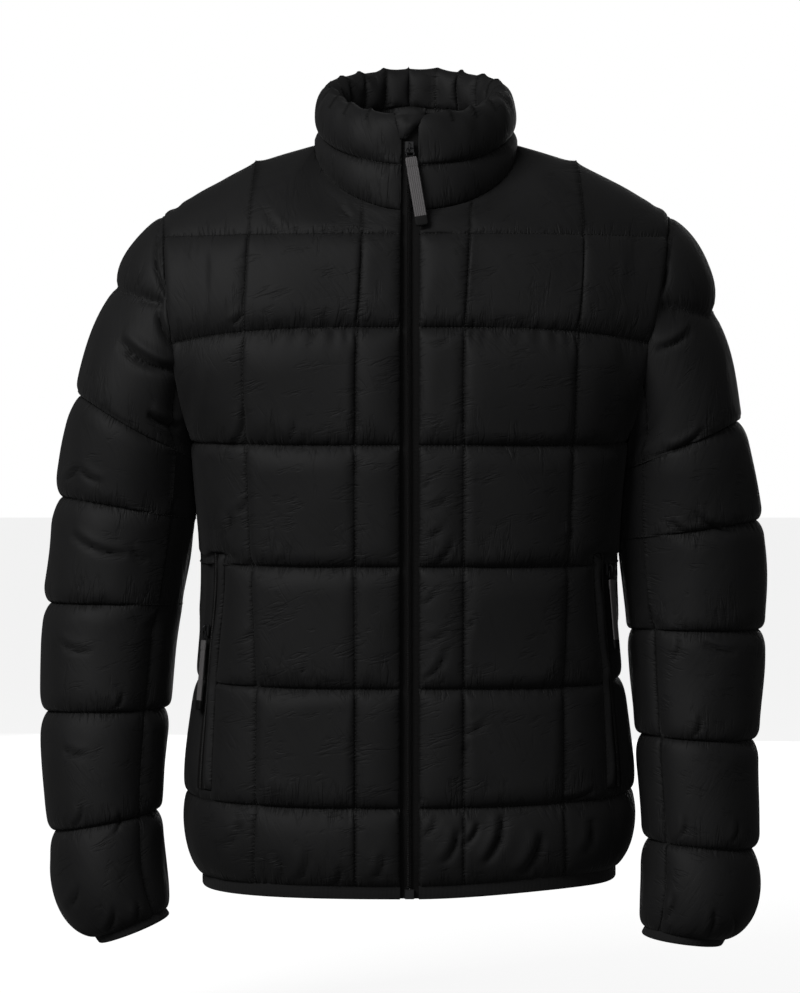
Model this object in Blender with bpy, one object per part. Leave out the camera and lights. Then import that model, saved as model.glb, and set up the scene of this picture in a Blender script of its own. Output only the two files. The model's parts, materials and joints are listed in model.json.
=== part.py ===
"""Puffer jacket, filled out with nobody in it: zipped shut, stand-up collar, sleeves hanging.

Metres, +Z up, the front faces -Y and the wearer's left is +X. The origin lies midway between the
neck ends of the shoulder seams, just under the cloth, where the jacket rests on its wearer.

Every cloth piece is one wall. Its base surface runs through the stitch lines of the quilting; the
plain inside lies a wall's thickness below it, and the outside rises above it between the stitches.
The base surfaces of neighbouring panels share their seam points, and each panel's edge is then
drawn in by half the seam gap.
"""

import math

import bmesh
import bpy
import numpy as np
from mathutils import Matrix, Vector

MM = 0.001
GAP = 0.3 * MM
WALL = 2.5 * MM
BINDING_WALL = 4.0 * MM

# Quilting: how far a baffle stands above its stitches, and the share left along upright stitches.
TORSO_LOFT = 10 * MM
SLEEVE_LOFT = 7 * MM
COLLAR_LOFT = 8 * MM
FACING_LOFT = 5 * MM
UPRIGHT_SHARE = 0.20
PUFF_POWER = 3.5
ROW_CROWDING = 0.6

# Columns of a torso quarter, from the centre to the side: where they stand in each stretch between
# the front edge, the inner stitch line, the neck end of the shoulder seam, the outer stitch line,
# the pocket's front edge and the side seam.
STRETCHES = ((0.5, 1), (0.24, 0.6, 1), (1,), (0.4, 1), (0.15, 0.34, 0.66, 1))
NECK_STRETCHES = 2
CORNER_SHARE = 0.8
FRONT_EDGE = 8.5 * MM
INNER_LINE = 49 * MM
CELLS = [len(stretch) for stretch in STRETCHES]
COLUMNS = sum(CELLS)
NECK_COLUMNS = sum(CELLS[:NECK_STRETCHES])
LINE_COLUMNS = (0, CELLS[0], sum(CELLS[:3]), COLUMNS)
POCKET_COLUMN = sum(CELLS[:4])

# The torso's rows, from the hem up. rows: grid rows up to the next; loft: share of TORSO_LOFT in the
# baffle above; armhole: the row's place round the armhole in degrees from its top.
TORSO_FIELDS = (
    "name", "rows", "stitched", "z", "z_side", "half_width", "front", "back",
    "outer_line", "pocket_line", "loft", "armhole",
)
TORSO_TABLE = (
    ("hem", 2, 1, -0.678, -0.677, 0.1945, -0.127, 0.119, 0.140, 0.176, 1.10, None),
    ("low", 3, 0, -0.650, -0.646, 0.2055, -0.130, 0.122, 0.140, 0.182, 1.10, None),
    ("fifth", 4, 1, -0.606, -0.598, 0.2085, -0.129, 0.119, 0.139, 0.183, 1.00, None),
    ("fourth", 4, 1, -0.4975, -0.491, 0.1965, -0.128, 0.110, 0.139, 0.179, 1.00, None),
    ("third", 4, 1, -0.3865, -0.382, 0.1900, -0.130, 0.113, 0.143, 0.170, 1.00, None),
    ("second", 4, 1, -0.2760, -0.266, 0.2035, -0.133, 0.128, 0.148, 0.180, 1.00, 180),
    ("first", 4, 1, -0.1685, None, None, -0.128, 0.131, 0.152, 0.180, 0.80, 101),
    ("yoke", 4, 1, -0.0830, None, None, -0.112, 0.112, 0.153, 0.185, 0.55, 42),
    ("top", 0, 1, None, None, None, None, None, 0.150, 0.180, 0.00, 0),
)
FRONT_FULLNESS, SIDE_FULLNESS = 0.70, 0.66
CHEST_REACH, ARMHOLE_REACH, ARMHOLE_TURN = 0.120, 0.080, math.radians(31)

# Neckline, shoulder seam and armhole.
NECK_SIDE = 0.095
NECK_SIDE_Z = 0.012
NECK_FRONT = (-0.104, -0.060)
NECK_BACK = (0.068, 0.012)
SHOULDER_TIP = (0.235, -0.055)
SHOULDER_RISE = 9 * MM
NECK_LIFT, SHOULDER_LIFT = 0.6, 0.10
ARMPIT = (0.2035, -0.266)
ARMHOLE_DEPTH = {-1: 0.085, 1: 0.083}
ARMHOLE_BULGE = 4 * MM
ARMPIT_REACH = 0.13
ARMPIT_SPREAD = 0.27
# The upper part leans towards the wearer's left in this pose.
LEAN = 6.5 * MM
LEAN_FROM, LEAN_TO, LEAN_HALF_WIDTH = -0.22, -0.06, 0.05
# The hem rises towards the wearer's left.
HEM_RISE = 7 * MM
HEM_RISE_WIDTH, HEM_RISE_FROM, HEM_RISE_TO = 0.17, -0.56, -0.66

# Sleeve rings from the second quilting line down; the first ring is the armhole itself.
# outer, inner: the ring's two ends in the front view; depth: its size front to back about mid_y.
SLEEVE_FIELDS = (
    "name", "rows", "stitched", "outer_x", "outer_z", "inner_x", "inner_z", "depth", "mid_y",
)
HEAD_ROWS = 6
# How the sleeve leaves the armhole: outwards and down over the top, its loft fading underneath
# over this range of degrees from the top.
HEAD_OUT, HEAD_DOWN, HEAD_PULL = 0.86, -0.51, 0.8
UNDER_FROM, UNDER_TO = 80, 130
SLEEVES = {
    1: (
        ("second", 4, 1, 0.3100, -0.250, 0.2080, -0.297, 0.166, 0.000),
        ("third", 4, 1, 0.3290, -0.344, 0.2065, -0.362, 0.150, 0.000),
        ("fourth", 4, 1, 0.3305, -0.447, 0.2140, -0.446, 0.139, -0.006),
        ("fifth", 4, 1, 0.3225, -0.550, 0.2205, -0.545, 0.128, -0.020),
        ("sixth", 3, 1, 0.3205, -0.650, 0.2255, -0.642, 0.116, -0.038),
        ("wrist", 2, 0, 0.3150, -0.716, 0.2225, -0.708, 0.104, -0.050),
        ("cuff", 0, 1, 0.2940, -0.733, 0.2215, -0.723, 0.084, -0.054),
    ),
    -1: (
        ("second", 4, 1, 0.3110, -0.226, 0.2080, -0.287, 0.166, 0.000),
        ("third", 4, 1, 0.3285, -0.322, 0.2105, -0.342, 0.150, 0.000),
        ("fourth", 4, 1, 0.3385, -0.422, 0.2225, -0.422, 0.139, -0.006),
        ("fifth", 4, 1, 0.3395, -0.523, 0.2325, -0.520, 0.128, -0.020),
        ("sixth", 3, 1, 0.3310, -0.634, 0.2385, -0.615, 0.116, -0.038),
        ("wrist", 2, 0, 0.3200, -0.714, 0.2315, -0.692, 0.104, -0.050),
        ("cuff", 0, 1, 0.2920, -0.731, 0.2290, -0.706, 0.084, -0.054),
    ),
}
FIRST_LINE_SHARE = {1: 0.50, -1: 0.44}
SLEEVE_COLUMNS = 24
UNDER_COLUMNS = 3
UNDER_SEAM_SHARE = 0.5
CUFF_NAME = {1: "left", -1: "right"}

# Collar and facing rings: half width, y of the front and back, z of the front, side and back.
COLLAR_SEAM = (NECK_SIDE, NECK_FRONT[0], NECK_BACK[0], NECK_FRONT[1], NECK_SIDE_Z, NECK_BACK[1])
COLLAR_CHANNEL = (0.0895, -0.1035, 0.0715, -0.018, 0.027, 0.053)
COLLAR_RIM = (0.0815, -0.0960, 0.0700, 0.031, 0.070, 0.0950)
FACING_LINE = (0.0755, -0.0880, 0.0620, -0.016, 0.030, 0.055)
FACING_FOOT = (0.0893, -0.0970, 0.0620, -0.053, 0.010, 0.018)
COLLAR_ROWS = 4
FACING_FOOT_ROWS = 2
COLLAR_EDGE_SHARE = 0.5
COLLAR_LOWER_SHARE = 0.7
FACING_VALLEY_SHARE = 0.25
FACING_WALL = 2.0 * MM
# The way the collar turns over at its rim, inwards and upwards, seen from outside and from inside.
RIM_OVER, RIM_UNDER = (0.8, 0.6), (0.9, 0.1)

# Zip: coil on two tapes behind the front edges, a slider near the top and its hanging pull.
TAPE_HALF_WIDTH = 12.5 * MM
TAPE_THICKNESS = 1.0 * MM
TAPE_FALL = 1.35 * MM
COIL_WIDTH = 5.0 * MM
COIL_THICKNESS = 2.5 * MM
SLIDER_Z = -0.002
SLIDER_SIZE = (8.5 * MM, 2.4 * MM, 11.0 * MM)
BRIDGE_RADIUS = 0.8 * MM
BRIDGE_HALF_LENGTH = 3.6 * MM
BRIDGE_HEIGHT = 3.0 * MM
BRIDGE_SUNK = 0.5 * MM
BRIDGE_SHOULDER = 0.6
LOOP_RADIUS = 0.7 * MM
LOOP_HALF_WIDTH = 3.4 * MM
LOOP_LENGTH = 7.5 * MM
LOOP_CORNER = 1.2 * MM
TAB_SIZE = (11.0 * MM, 1.6 * MM, 56.0 * MM)
TIP_SIZE = (12.0 * MM, 2.8 * MM, 9.0 * MM)
METAL_BEVEL, TAB_BEVEL, TIP_BEVEL = 0.6 * MM, 0.4 * MM, 0.7 * MM
WELD = 0.01 * MM
PIVOT_STANDOFF = 1.25 * MM
PIVOT_DROP = 1.2 * MM
PULL_TILT = math.radians(9.3)
PULL_LEAN = math.radians(9)
ZIP_BOX_SIZE = (9.0 * MM, 3.6 * MM, 9.0 * MM)

# Flap over the top of the zip, sewn to the right half of the collar: height, left and right edge.
GARAGE_FIELDS = ("z", "left", "right")
GARAGE_TABLE = (
    (0.0055, -0.0125, -0.0030),
    (0.0120, -0.0125, 0.0035),
    (0.0200, -0.0125, 0.0105),
    (0.0280, -0.0130, 0.0150),
    (0.0350, -0.0140, 0.0165),
)
GARAGE_COLUMNS = 4
GARAGE_WALL = 2.0 * MM
GARAGE_STAND = 1.6 * MM

# Side pockets: rows of the torso grid at which the welt starts and ends, and the sliders' rows.
POCKET_ROWS = (6, 14)
POCKET_SLIDER_ROW = {1: 12.7, -1: 10.8}
POCKET_LOFT = 0.8 * MM
WELT_WALL = 2.0 * MM
POCKET_COIL_GAP = 0.4 * MM
POCKET_PULL_LEAN = math.radians(5)
HEM_BINDING_HEIGHT = 11 * MM
CUFF_BINDING_HEIGHT = 8 * MM

NYLON = (0.012, 0.012, 0.0125)
CLOTHS = {
    "shell": (NYLON, 0.42, 0.0),
    "binding": ((0.014, 0.014, 0.015), 0.75, 0.0),
    "tape": ((0.010, 0.009, 0.0095), 0.80, 0.0),
    "coil": ((0.012, 0.011, 0.011), 0.45, 0.0),
    "slider": ((0.020, 0.020, 0.021), 0.35, 0.6),
    "webbing": ((0.130, 0.124, 0.126), 0.85, 0.0),
    "tip": ((0.018, 0.018, 0.018), 0.50, 0.0),
}


# ------------------------------------------------------------------ scene, materials, meshes


def clear_scene():
    for found in list(bpy.data.objects):
        bpy.data.objects.remove(found, do_unlink=True)


def new_collection(name):
    collection = bpy.data.collections.new(name)
    bpy.context.scene.collection.children.link(collection)
    return collection


def cloth_material(name):
    colour, roughness, metallic = CLOTHS[name]
    material = bpy.data.materials.new(name)
    material.use_nodes = True
    shader = material.node_tree.nodes["Principled BSDF"]
    shader.inputs["Base Color"].default_value = (*colour, 1.0)
    shader.inputs["Roughness"].default_value = roughness
    shader.inputs["Metallic"].default_value = metallic
    return material


def add_mesh(name, points, faces, material):
    """One object of the jacket from points and faces, its normals turned outwards."""
    mesh = bpy.data.meshes.new(name)
    mesh.from_pydata([tuple(point) for point in points], [], faces)
    shape = bmesh.new()
    shape.from_mesh(mesh)
    bmesh.ops.recalc_face_normals(shape, faces=shape.faces)
    if shape.calc_volume(signed=True) < 0:
        bmesh.ops.reverse_faces(shape, faces=shape.faces)
    shape.to_mesh(mesh)
    shape.free()
    mesh.shade_smooth()
    mesh.materials.append(MATERIALS[material])
    piece = bpy.data.objects.new(name, mesh)
    JACKET.objects.link(piece)
    return piece


# ------------------------------------------------------------------ curves and grids


def unit(vectors):
    return vectors / np.maximum(np.linalg.norm(vectors, axis=-1, keepdims=True), 1e-9)


def smooth(value):
    value = np.clip(value, 0.0, 1.0)
    return value * value * (3 - 2 * value)


def bezier(start, start_handle, end_handle, end, count=161):
    t = np.linspace(0, 1, count)[:, None]
    start, start_handle, end_handle, end = map(np.asarray, (start, start_handle, end_handle, end))
    return (
        (1 - t) ** 3 * start
        + 3 * (1 - t) ** 2 * t * start_handle
        + 3 * (1 - t) * t**2 * end_handle
        + t**3 * end
    )


def lengths_along(curve):
    steps = np.linalg.norm(np.diff(curve, axis=0), axis=1)
    return np.concatenate([[0.0], np.cumsum(steps)])


def spread(curve, stops):
    """Points of a curve at the places of STRETCHES between its stops, which are lengths along it."""
    places = [0.0]
    for start, end, stretch in zip(stops, stops[1:], STRETCHES):
        places += [start + (end - start) * place for place in stretch]
    length = lengths_along(curve)
    return np.stack([np.interp(places, length, curve[:, axis]) for axis in range(3)], axis=1)


def crowded(steps, crowding):
    """Even steps from 0 to 1 moved towards both ends, where the stitches are."""
    return steps - crowding * np.sin(2 * math.pi * steps) / (2 * math.pi)


def rows_through(knots, steps, start=None, end=None, even_gaps=0):
    """Smooth rows through knot rows: steps[k] rows in gap k, each column by its chord lengths."""
    chord = np.diff(knots, axis=0)
    length = np.maximum(np.linalg.norm(chord, axis=-1, keepdims=True), 1e-6)
    heading = chord / length
    slope = np.empty_like(knots)
    slope[1:-1] = heading[:-1] * length[1:] + heading[1:] * length[:-1]
    slope[1:-1] /= length[:-1] + length[1:]
    slope[0] = 1.5 * heading[0] - 0.5 * slope[1] if start is None else start
    slope[-1] = 1.5 * heading[-1] - 0.5 * slope[-2] if end is None else end
    rows = [knots[:1]]
    for k, count in enumerate(steps):
        crowding = 0.0 if k < even_gaps else ROW_CROWDING
        t = crowded(np.arange(1, count + 1) / count, crowding)[:, None, None]
        rows.append(
            (2 * t**3 - 3 * t**2 + 1) * knots[k]
            + (t**3 - 2 * t**2 + t) * length[k] * slope[k]
            + (3 * t**2 - 2 * t**3) * knots[k + 1]
            + (t**3 - t**2) * length[k] * slope[k + 1]
        )
    return np.concatenate(rows)


def grid_normals(grids, centres):
    """Outward unit normals of grids that share seam points, welded across the seams."""
    keys, sums = [], []
    for grid, centre in zip(grids, centres):
        down = grid[1:] - grid[:-1]
        across = grid[:, 1:] - grid[:, :-1]
        face = np.cross(down[:, :-1] + down[:, 1:], across[:-1] + across[1:])
        middle = (grid[1:, 1:] + grid[:-1, :-1]) / 2
        if (face * (middle - centre)).sum() < 0:
            face = -face
        total = np.zeros_like(grid)
        for rows, columns in ((0, 0), (0, 1), (1, 0), (1, 1)):
            height, width = face.shape[:2]
            total[rows:rows + height, columns:columns + width] += face
        keys.append(grid.reshape(-1, 3))
        sums.append(total.reshape(-1, 3))
    _, index = np.unique(np.round(np.concatenate(keys), 5), axis=0, return_inverse=True)
    index = index.reshape(-1)
    welded = np.zeros((index.max() + 1, 3))
    np.add.at(welded, index, np.concatenate(sums))
    normals = unit(welded[index])
    split = np.split(normals, np.cumsum([len(key) for key in keys])[:-1])
    return [softened(part.reshape(grid.shape)) for part, grid in zip(split, grids)]


def softened(normals, rounds=4):
    """Normals averaged with their neighbours inside a grid, so that the wall turns evenly."""
    for _ in range(rounds):
        near = normals[:-2, 1:-1] + normals[2:, 1:-1] + normals[1:-1, :-2] + normals[1:-1, 2:]
        normals[1:-1, 1:-1] = unit(normals[1:-1, 1:-1] + near / 4)
    return normals


def drawn_in(grid):
    """The grid with each edge moved inwards by half a seam gap."""
    moved = grid.copy()
    moved[0] += unit(grid[1] - grid[0]) * GAP / 2
    moved[-1] += unit(grid[-2] - grid[-1]) * GAP / 2
    moved[:, 0] += unit(grid[:, 1] - grid[:, 0]) * GAP / 2
    moved[:, -1] += unit(grid[:, -2] - grid[:, -1]) * GAP / 2
    return moved


def rim_faces(outer, inner, points):
    """Triangles between two matching rows of point numbers; the diagonal depends on place only."""
    faces = []
    lean = points @ np.array([0.11, 0.37, 1.0])
    for a, b, c, d in zip(outer, outer[1:], inner[1:], inner):
        faces += [(a, b, c), (a, c, d)] if lean[a] < lean[b] else [(a, b, d), (b, c, d)]
    return faces


def wall_piece(name, outside, inside, material):
    """A closed wall between two grids of the same shape."""
    rows, columns = outside.shape[:2]
    points = np.concatenate([outside.reshape(-1, 3), inside.reshape(-1, 3)])
    top = np.arange(rows * columns).reshape(rows, columns)
    faces = []
    for sheet in (top, top + rows * columns):
        a, b, c, d = sheet[:-1, :-1], sheet[:-1, 1:], sheet[1:, 1:], sheet[1:, :-1]
        faces += np.stack([a, b, c], -1).reshape(-1, 3).tolist()
        faces += np.stack([a, c, d], -1).reshape(-1, 3).tolist()
    for edge in (top[0], top[-1], top[:, 0], top[:, -1]):
        faces += rim_faces(edge.tolist(), (edge + rows * columns).tolist(), points)
    return add_mesh(name, points, faces, material)


def panel(name, base, normals, loft, material="shell", wall=WALL):
    """A quilted panel: raised outside over a plain inside. Returns its outside points."""
    base = drawn_in(base)
    outside = base + normals * loft[..., None]
    wall_piece(name, outside, base - normals * wall, material)
    return outside


def bar(name, sections, material, closed=False):
    """A solid along a path: sections is a stack of matching outlines, capped unless closed."""
    count, corners = sections.shape[:2]
    number = np.arange(count * corners).reshape(count, corners)
    following = np.roll(number, -1, axis=0) if closed else number[1:]
    before = number if closed else number[:-1]
    faces = []
    for row, after in zip(before, following):
        for a, b, c, d in zip(row, np.roll(row, -1), np.roll(after, -1), after):
            faces += [(int(a), int(b), int(c)), (int(a), int(c), int(d))]
    if not closed:
        faces += [tuple(map(int, number[0])), tuple(map(int, number[-1]))]
    return add_mesh(name, sections.reshape(-1, 3), faces, material)


def bulge(place):
    """Height of a baffle across its width, 0 at both stitch lines and 1 between them."""
    return 1 - np.abs(2 * np.asarray(place, float) - 1) ** PUFF_POWER


def places_down(grid, lines):
    """Each point's place, 0 to 1, down its column between the stitched rows before and after it."""
    steps = np.linalg.norm(np.diff(grid, axis=0), axis=-1)
    length = np.concatenate([np.zeros_like(steps[:1]), np.cumsum(steps, axis=0)])
    place = np.zeros_like(length)
    for start, end in zip(lines, lines[1:]):
        place[start:end] = (length[start:end] - length[start]) / (length[end] - length[start])
    place[-1] = 1.0
    return place


def stitched_rows(table):
    """Grid row numbers of a table's stitched rows."""
    number = np.cumsum([0] + [row["rows"] for row in table[:-1]])
    return [int(at) for at, row in zip(number, table) if row["stitched"]]


# ------------------------------------------------------------------ the torso


TORSO = [dict(zip(TORSO_FIELDS, row)) for row in TORSO_TABLE]
TORSO_STEPS = [row["rows"] for row in TORSO[:-1]]
ARMPIT_KNOT = [row["name"] for row in TORSO].index("second")
ARMPIT_ROW = sum(TORSO_STEPS[:ARMPIT_KNOT])
TORSO_ROWS = sum(TORSO_STEPS)


def leaned(points):
    """The pose: the shoulders and collar shift sideways, the zip does not, and the hem rises."""
    moved = points.copy()
    share = smooth((points[..., 2] - LEAN_FROM) / (LEAN_TO - LEAN_FROM))
    share = share * smooth(np.abs(points[..., 0]) / LEAN_HALF_WIDTH)
    moved[..., 0] += LEAN * share
    low = smooth((points[..., 2] - HEM_RISE_FROM) / (HEM_RISE_TO - HEM_RISE_FROM))
    moved[..., 2] += HEM_RISE * low * smooth(points[..., 0] / HEM_RISE_WIDTH)
    return moved


def armhole(degrees, face):
    """A point of the armhole, a tilted ellipse that bows outwards; face is -1 front, 1 back."""
    angle = np.radians(degrees)
    middle_x = (SHOULDER_TIP[0] + ARMPIT[0]) / 2
    middle_z = (SHOULDER_TIP[1] + ARMPIT[1]) / 2
    x = middle_x + (SHOULDER_TIP[0] - middle_x) * np.cos(angle) + ARMHOLE_BULGE * np.sin(angle)
    y = face * ARMHOLE_DEPTH[face] * np.sin(angle)
    z = middle_z + (SHOULDER_TIP[1] - middle_z) * np.cos(angle)
    return np.stack([x, y, z], axis=-1)


def row_section(row, face):
    """A torso row from the centre to the side seam or the armhole, as a fine curve."""
    start_x = FRONT_EDGE if face < 0 else 0.0
    centre_y = row["front"] if face < 0 else row["back"]
    if row["half_width"]:
        width = row["half_width"]
        end = (width, 0.0)
        handles = (width * FRONT_FULLNESS, centre_y), (width, centre_y * SIDE_FULLNESS)
        end_z = row["z_side"]
    else:
        edge = armhole(row["armhole"], face)
        end = (edge[0], edge[1])
        turned = (
            edge[0] - ARMHOLE_REACH * math.cos(ARMHOLE_TURN),
            edge[1] + face * ARMHOLE_REACH * math.sin(ARMHOLE_TURN),
        )
        handles = (CHEST_REACH, centre_y), turned
        end_z = edge[2]
    flat = bezier((start_x, centre_y), *handles, end)
    along = lengths_along(flat) / lengths_along(flat)[-1]
    return np.column_stack([flat, row["z"] + (end_z - row["z"]) * along**3])


def top_section(face):
    """The neckline from the centre to its side, then the shoulder seam."""
    centre_y, centre_z = NECK_FRONT if face < 0 else NECK_BACK
    first = math.asin(FRONT_EDGE / NECK_SIDE) if face < 0 else 0.0
    angle = np.linspace(first, math.pi / 2, 81)
    neck = np.column_stack([
        NECK_SIDE * np.sin(angle),
        centre_y * np.cos(angle),
        NECK_SIDE_Z + (centre_z - NECK_SIDE_Z) * np.cos(angle),
    ])
    along = np.linspace(0, 1, 81)[1:]
    seam = np.column_stack([
        NECK_SIDE + (SHOULDER_TIP[0] - NECK_SIDE) * along,
        np.zeros_like(along),
        NECK_SIDE_Z + (SHOULDER_TIP[1] - NECK_SIDE_Z) * along
        + SHOULDER_RISE * np.sin(math.pi * along),
    ])
    return np.concatenate([neck, seam]), lengths_along(neck)[-1]


def stops_of(curve, row, corner=None):
    """Lengths along a row at the upright lines, the neck corner, the pocket line and the end."""
    length = lengths_along(curve)
    inner, outer, pocket = np.interp(
        [INNER_LINE, row["outer_line"], row["pocket_line"]], curve[:, 0], length
    )
    if corner is None:
        corner = inner + (outer - inner) * CORNER_SHARE
    return [0.0, inner, corner, outer, pocket, length[-1]]


def torso_quarter(face):
    """Base grid of the +X half of the front (face -1) or the back (face 1), hem row first."""
    knots = []
    for row in TORSO[:-1]:
        curve = row_section(row, face)
        knots.append(spread(curve, stops_of(curve, row)))
    curve, corner = top_section(face)
    knots.append(spread(curve, stops_of(curve, TORSO[-1], corner)))
    knots = np.array(knots)

    side_knots = knots[:ARMPIT_KNOT + 1, -1:]
    side_heading = unit(np.array([ARMPIT_SPREAD, 0, 1.0]))
    side = rows_through(side_knots, TORSO_STEPS[:ARMPIT_KNOT], end=side_heading)
    angles = [row["armhole"] for row in TORSO[ARMPIT_KNOT:]]
    steps = TORSO_STEPS[ARMPIT_KNOT:]
    turns = np.interp(np.arange(sum(steps) + 1), np.cumsum([0] + steps), angles)
    edge = np.concatenate([side[:, 0], armhole(turns[1:], face)])

    turn_columns = (NECK_COLUMNS - 2, NECK_COLUMNS, NECK_COLUMNS + 1, COLUMNS)
    over = np.interp(np.arange(COLUMNS + 1), turn_columns, (0, 0.6, 1, 1))[:, None]
    neck_heading = unit(unit(knots[-1] - knots[-2]) + np.array([0, 0, NECK_LIFT]))
    seam_heading = np.array([0, -face, SHOULDER_LIFT])
    end = unit(neck_heading * (1 - over) + seam_heading * over)
    grid = rows_through(knots, TORSO_STEPS, end=end)

    weight = (np.arange(COLUMNS + 1) / COLUMNS)[None, :, None] ** 4
    return grid + weight * (edge[:, None] - grid[:, -1:])


def mirrored(grid):
    """The same quarter on the -X side, its columns still running towards +X."""
    return (grid * (-1, 1, 1))[:, ::-1]


def upright_profile(grid, lines, edge_share=UPRIGHT_SHARE):
    """Loft share of each point between the upright stitch lines, which run down these columns."""
    across = places_down(grid.transpose(1, 0, 2), lines).T
    return edge_share + (1 - edge_share) * bulge(across)


def torso_loft(grid, share, pockets):
    """Loft of a quarter's grid: baffles, flatter behind the pocket line and by the armpit."""
    height = np.repeat([row["loft"] for row in TORSO[:-1]], TORSO_STEPS)
    height = np.append(height, 0.0)[:, None]
    loft = TORSO_LOFT * height * bulge(places_down(grid, stitched_rows(TORSO))) * share
    if pockets:
        rows = np.arange(TORSO_ROWS + 1)[:, None]
        columns = np.arange(COLUMNS + 1)[None]
        zone = (rows >= POCKET_ROWS[0]) & (rows <= POCKET_ROWS[1]) & (columns >= POCKET_COLUMN)
        loft = np.where(zone, POCKET_LOFT, loft)
    armpit = np.array([ARMPIT[0], 0, ARMPIT[1]])
    near = smooth(np.linalg.norm(grid - armpit, axis=-1) / ARMPIT_REACH)
    side = smooth((np.arange(COLUMNS + 1) - LINE_COLUMNS[2]) / (COLUMNS - LINE_COLUMNS[2]))
    return loft * (1 - side[None] * (1 - near))


# ------------------------------------------------------------------ the sleeves


def sleeve_grid(side, loop):
    """Base grid of a sleeve: rings from the armhole loop down to the cuff seam."""
    table = [dict(zip(SLEEVE_FIELDS, row)) for row in SLEEVES[side]]
    turn = np.linspace(math.pi, -math.pi, SLEEVE_COLUMNS + 1)
    knots = [loop]
    for row in table:
        outer = np.array([side * row["outer_x"], row["mid_y"], row["outer_z"]])
        inner = np.array([side * row["inner_x"], row["mid_y"], row["inner_z"]])
        reach = (outer - inner) / 2 * np.cos(turn)[:, None]
        width = np.outer(np.sin(turn), [0, -row["depth"] / 2, 0])
        knots.append((outer + inner) / 2 + reach + width)
    knots = np.array(knots)
    top_share = ((1 + np.cos(turn)) / 2)[:, None]
    heading = unit(
        np.array([side * HEAD_OUT, 0, HEAD_DOWN]) * top_share
        + np.array([side * ARMPIT_SPREAD, 0, -1.0]) * (1 - top_share)
    )
    steps = [HEAD_ROWS] + [row["rows"] for row in table[:-1]]
    heading = heading * (1 - (1 - HEAD_PULL) * top_share)
    return rows_through(knots, steps, start=heading, even_gaps=1)


def sleeve_loft(side, grid):
    """Loft of a sleeve's grid; the first quilting line runs from armhole to armhole over the top."""
    table = [dict(zip(SLEEVE_FIELDS, row)) for row in SLEEVES[side]]
    arm = bulge(places_down(grid[HEAD_ROWS:], stitched_rows(table)))
    turn = np.abs(np.linspace(180, -180, SLEEVE_COLUMNS + 1))
    line = FIRST_LINE_SHARE[side] * np.clip(1 - (turn / TORSO[ARMPIT_KNOT + 1]["armhole"]) ** 2, 0, 1)
    along = places_down(grid, (0, HEAD_ROWS))[:HEAD_ROWS]
    above = along / np.maximum(line, 1e-6)
    below = (along - line) / (1 - line)
    head = bulge(np.clip(np.where(along < line, above, below), 0, 1))
    seams = (0, UNDER_COLUMNS, SLEEVE_COLUMNS - UNDER_COLUMNS, SLEEVE_COLUMNS)
    share = upright_profile(grid, seams, UNDER_SEAM_SHARE)
    share[:, [0, -1]] = 1.0
    armpit = np.array([side * ARMPIT[0], 0, ARMPIT[1]])
    near = smooth(np.linalg.norm(grid - armpit, axis=-1) / ARMPIT_REACH)
    under = smooth((turn - UNDER_FROM) / (UNDER_TO - UNDER_FROM))
    return SLEEVE_LOFT * np.concatenate([head, arm]) * share * (1 - under * (1 - near))


# ------------------------------------------------------------------ collar


def collar_ring(ring, neck):
    """A ring over the neckline's columns: each keeps its angle round the neck."""
    half_width, front_y, back_y, front_z, side_z, back_z = ring
    sine = np.clip(neck[:, 0] / NECK_SIDE, -1, 1)
    cosine = np.sqrt(1 - sine**2)
    front = neck[:, 1] < 0
    y = np.where(front, front_y, back_y) * cosine
    z = side_z + (np.where(front, front_z, back_z) - side_z) * cosine
    return np.column_stack([half_width * sine, y, z])


def collar_grids(neck):
    rings = np.array([collar_ring(ring, neck) for ring in (COLLAR_SEAM, COLLAR_CHANNEL, COLLAR_RIM)])
    inward = unit(-rings[-1] * (1, 1, 0))
    upward = np.array([0, 0, 1.0])
    over, under = (unit(turn[0] * inward + turn[1] * upward) for turn in (RIM_OVER, RIM_UNDER))
    outer = rows_through(rings, (COLLAR_ROWS, COLLAR_ROWS), end=over)
    rings = np.array([collar_ring(ring, neck) for ring in (COLLAR_RIM, FACING_LINE, FACING_FOOT)])
    facing = rows_through(rings, (COLLAR_ROWS, FACING_FOOT_ROWS), start=under)
    return leaned(outer), leaned(facing)


# ------------------------------------------------------------------ zips, bindings, welts


def path_frames(path, outward):
    """Unit directions across (to +X), out and along at each point of a path."""
    along = unit(np.gradient(path, axis=0))
    out = unit(outward - (outward * along).sum(-1, keepdims=True) * along)
    return np.cross(along, out), out


def tape_sections(path, outward, side):
    """Outlines of one tape along a path, under the front edge: it falls away towards its outer edge."""
    across, out = path_frames(path, outward)
    top = -WALL - GAP
    corners = [
        (GAP / 2, top - TAPE_THICKNESS), (TAPE_HALF_WIDTH, top - TAPE_FALL - TAPE_THICKNESS),
        (TAPE_HALF_WIDTH, top - TAPE_FALL), (GAP / 2, top),
    ]
    return np.stack([path + across * side * x + out * depth for x, depth in corners], axis=1)


def oval_sections(path, outward, width, depths):
    """Six-sided outlines, as of a coil, along a path."""
    across, out = path_frames(path, outward)
    low, high = depths
    middle = (low + high) / 2
    corners = [
        (-width / 2, middle), (-width / 4, low), (width / 4, low),
        (width / 2, middle), (width / 4, high), (-width / 4, high),
    ]
    return np.stack([path + across * side + out * depth for side, depth in corners], axis=1)


# Half-round outline of a folded binding: shares of its thickness outwards, of its height down.
BINDING_OUTLINE = (
    (0.15, 0.0), (0.30, 0.35), (0.15, 0.90), (-0.30, 1.0), (-0.70, 0.80), (-0.70, 0.0),
)


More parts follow.
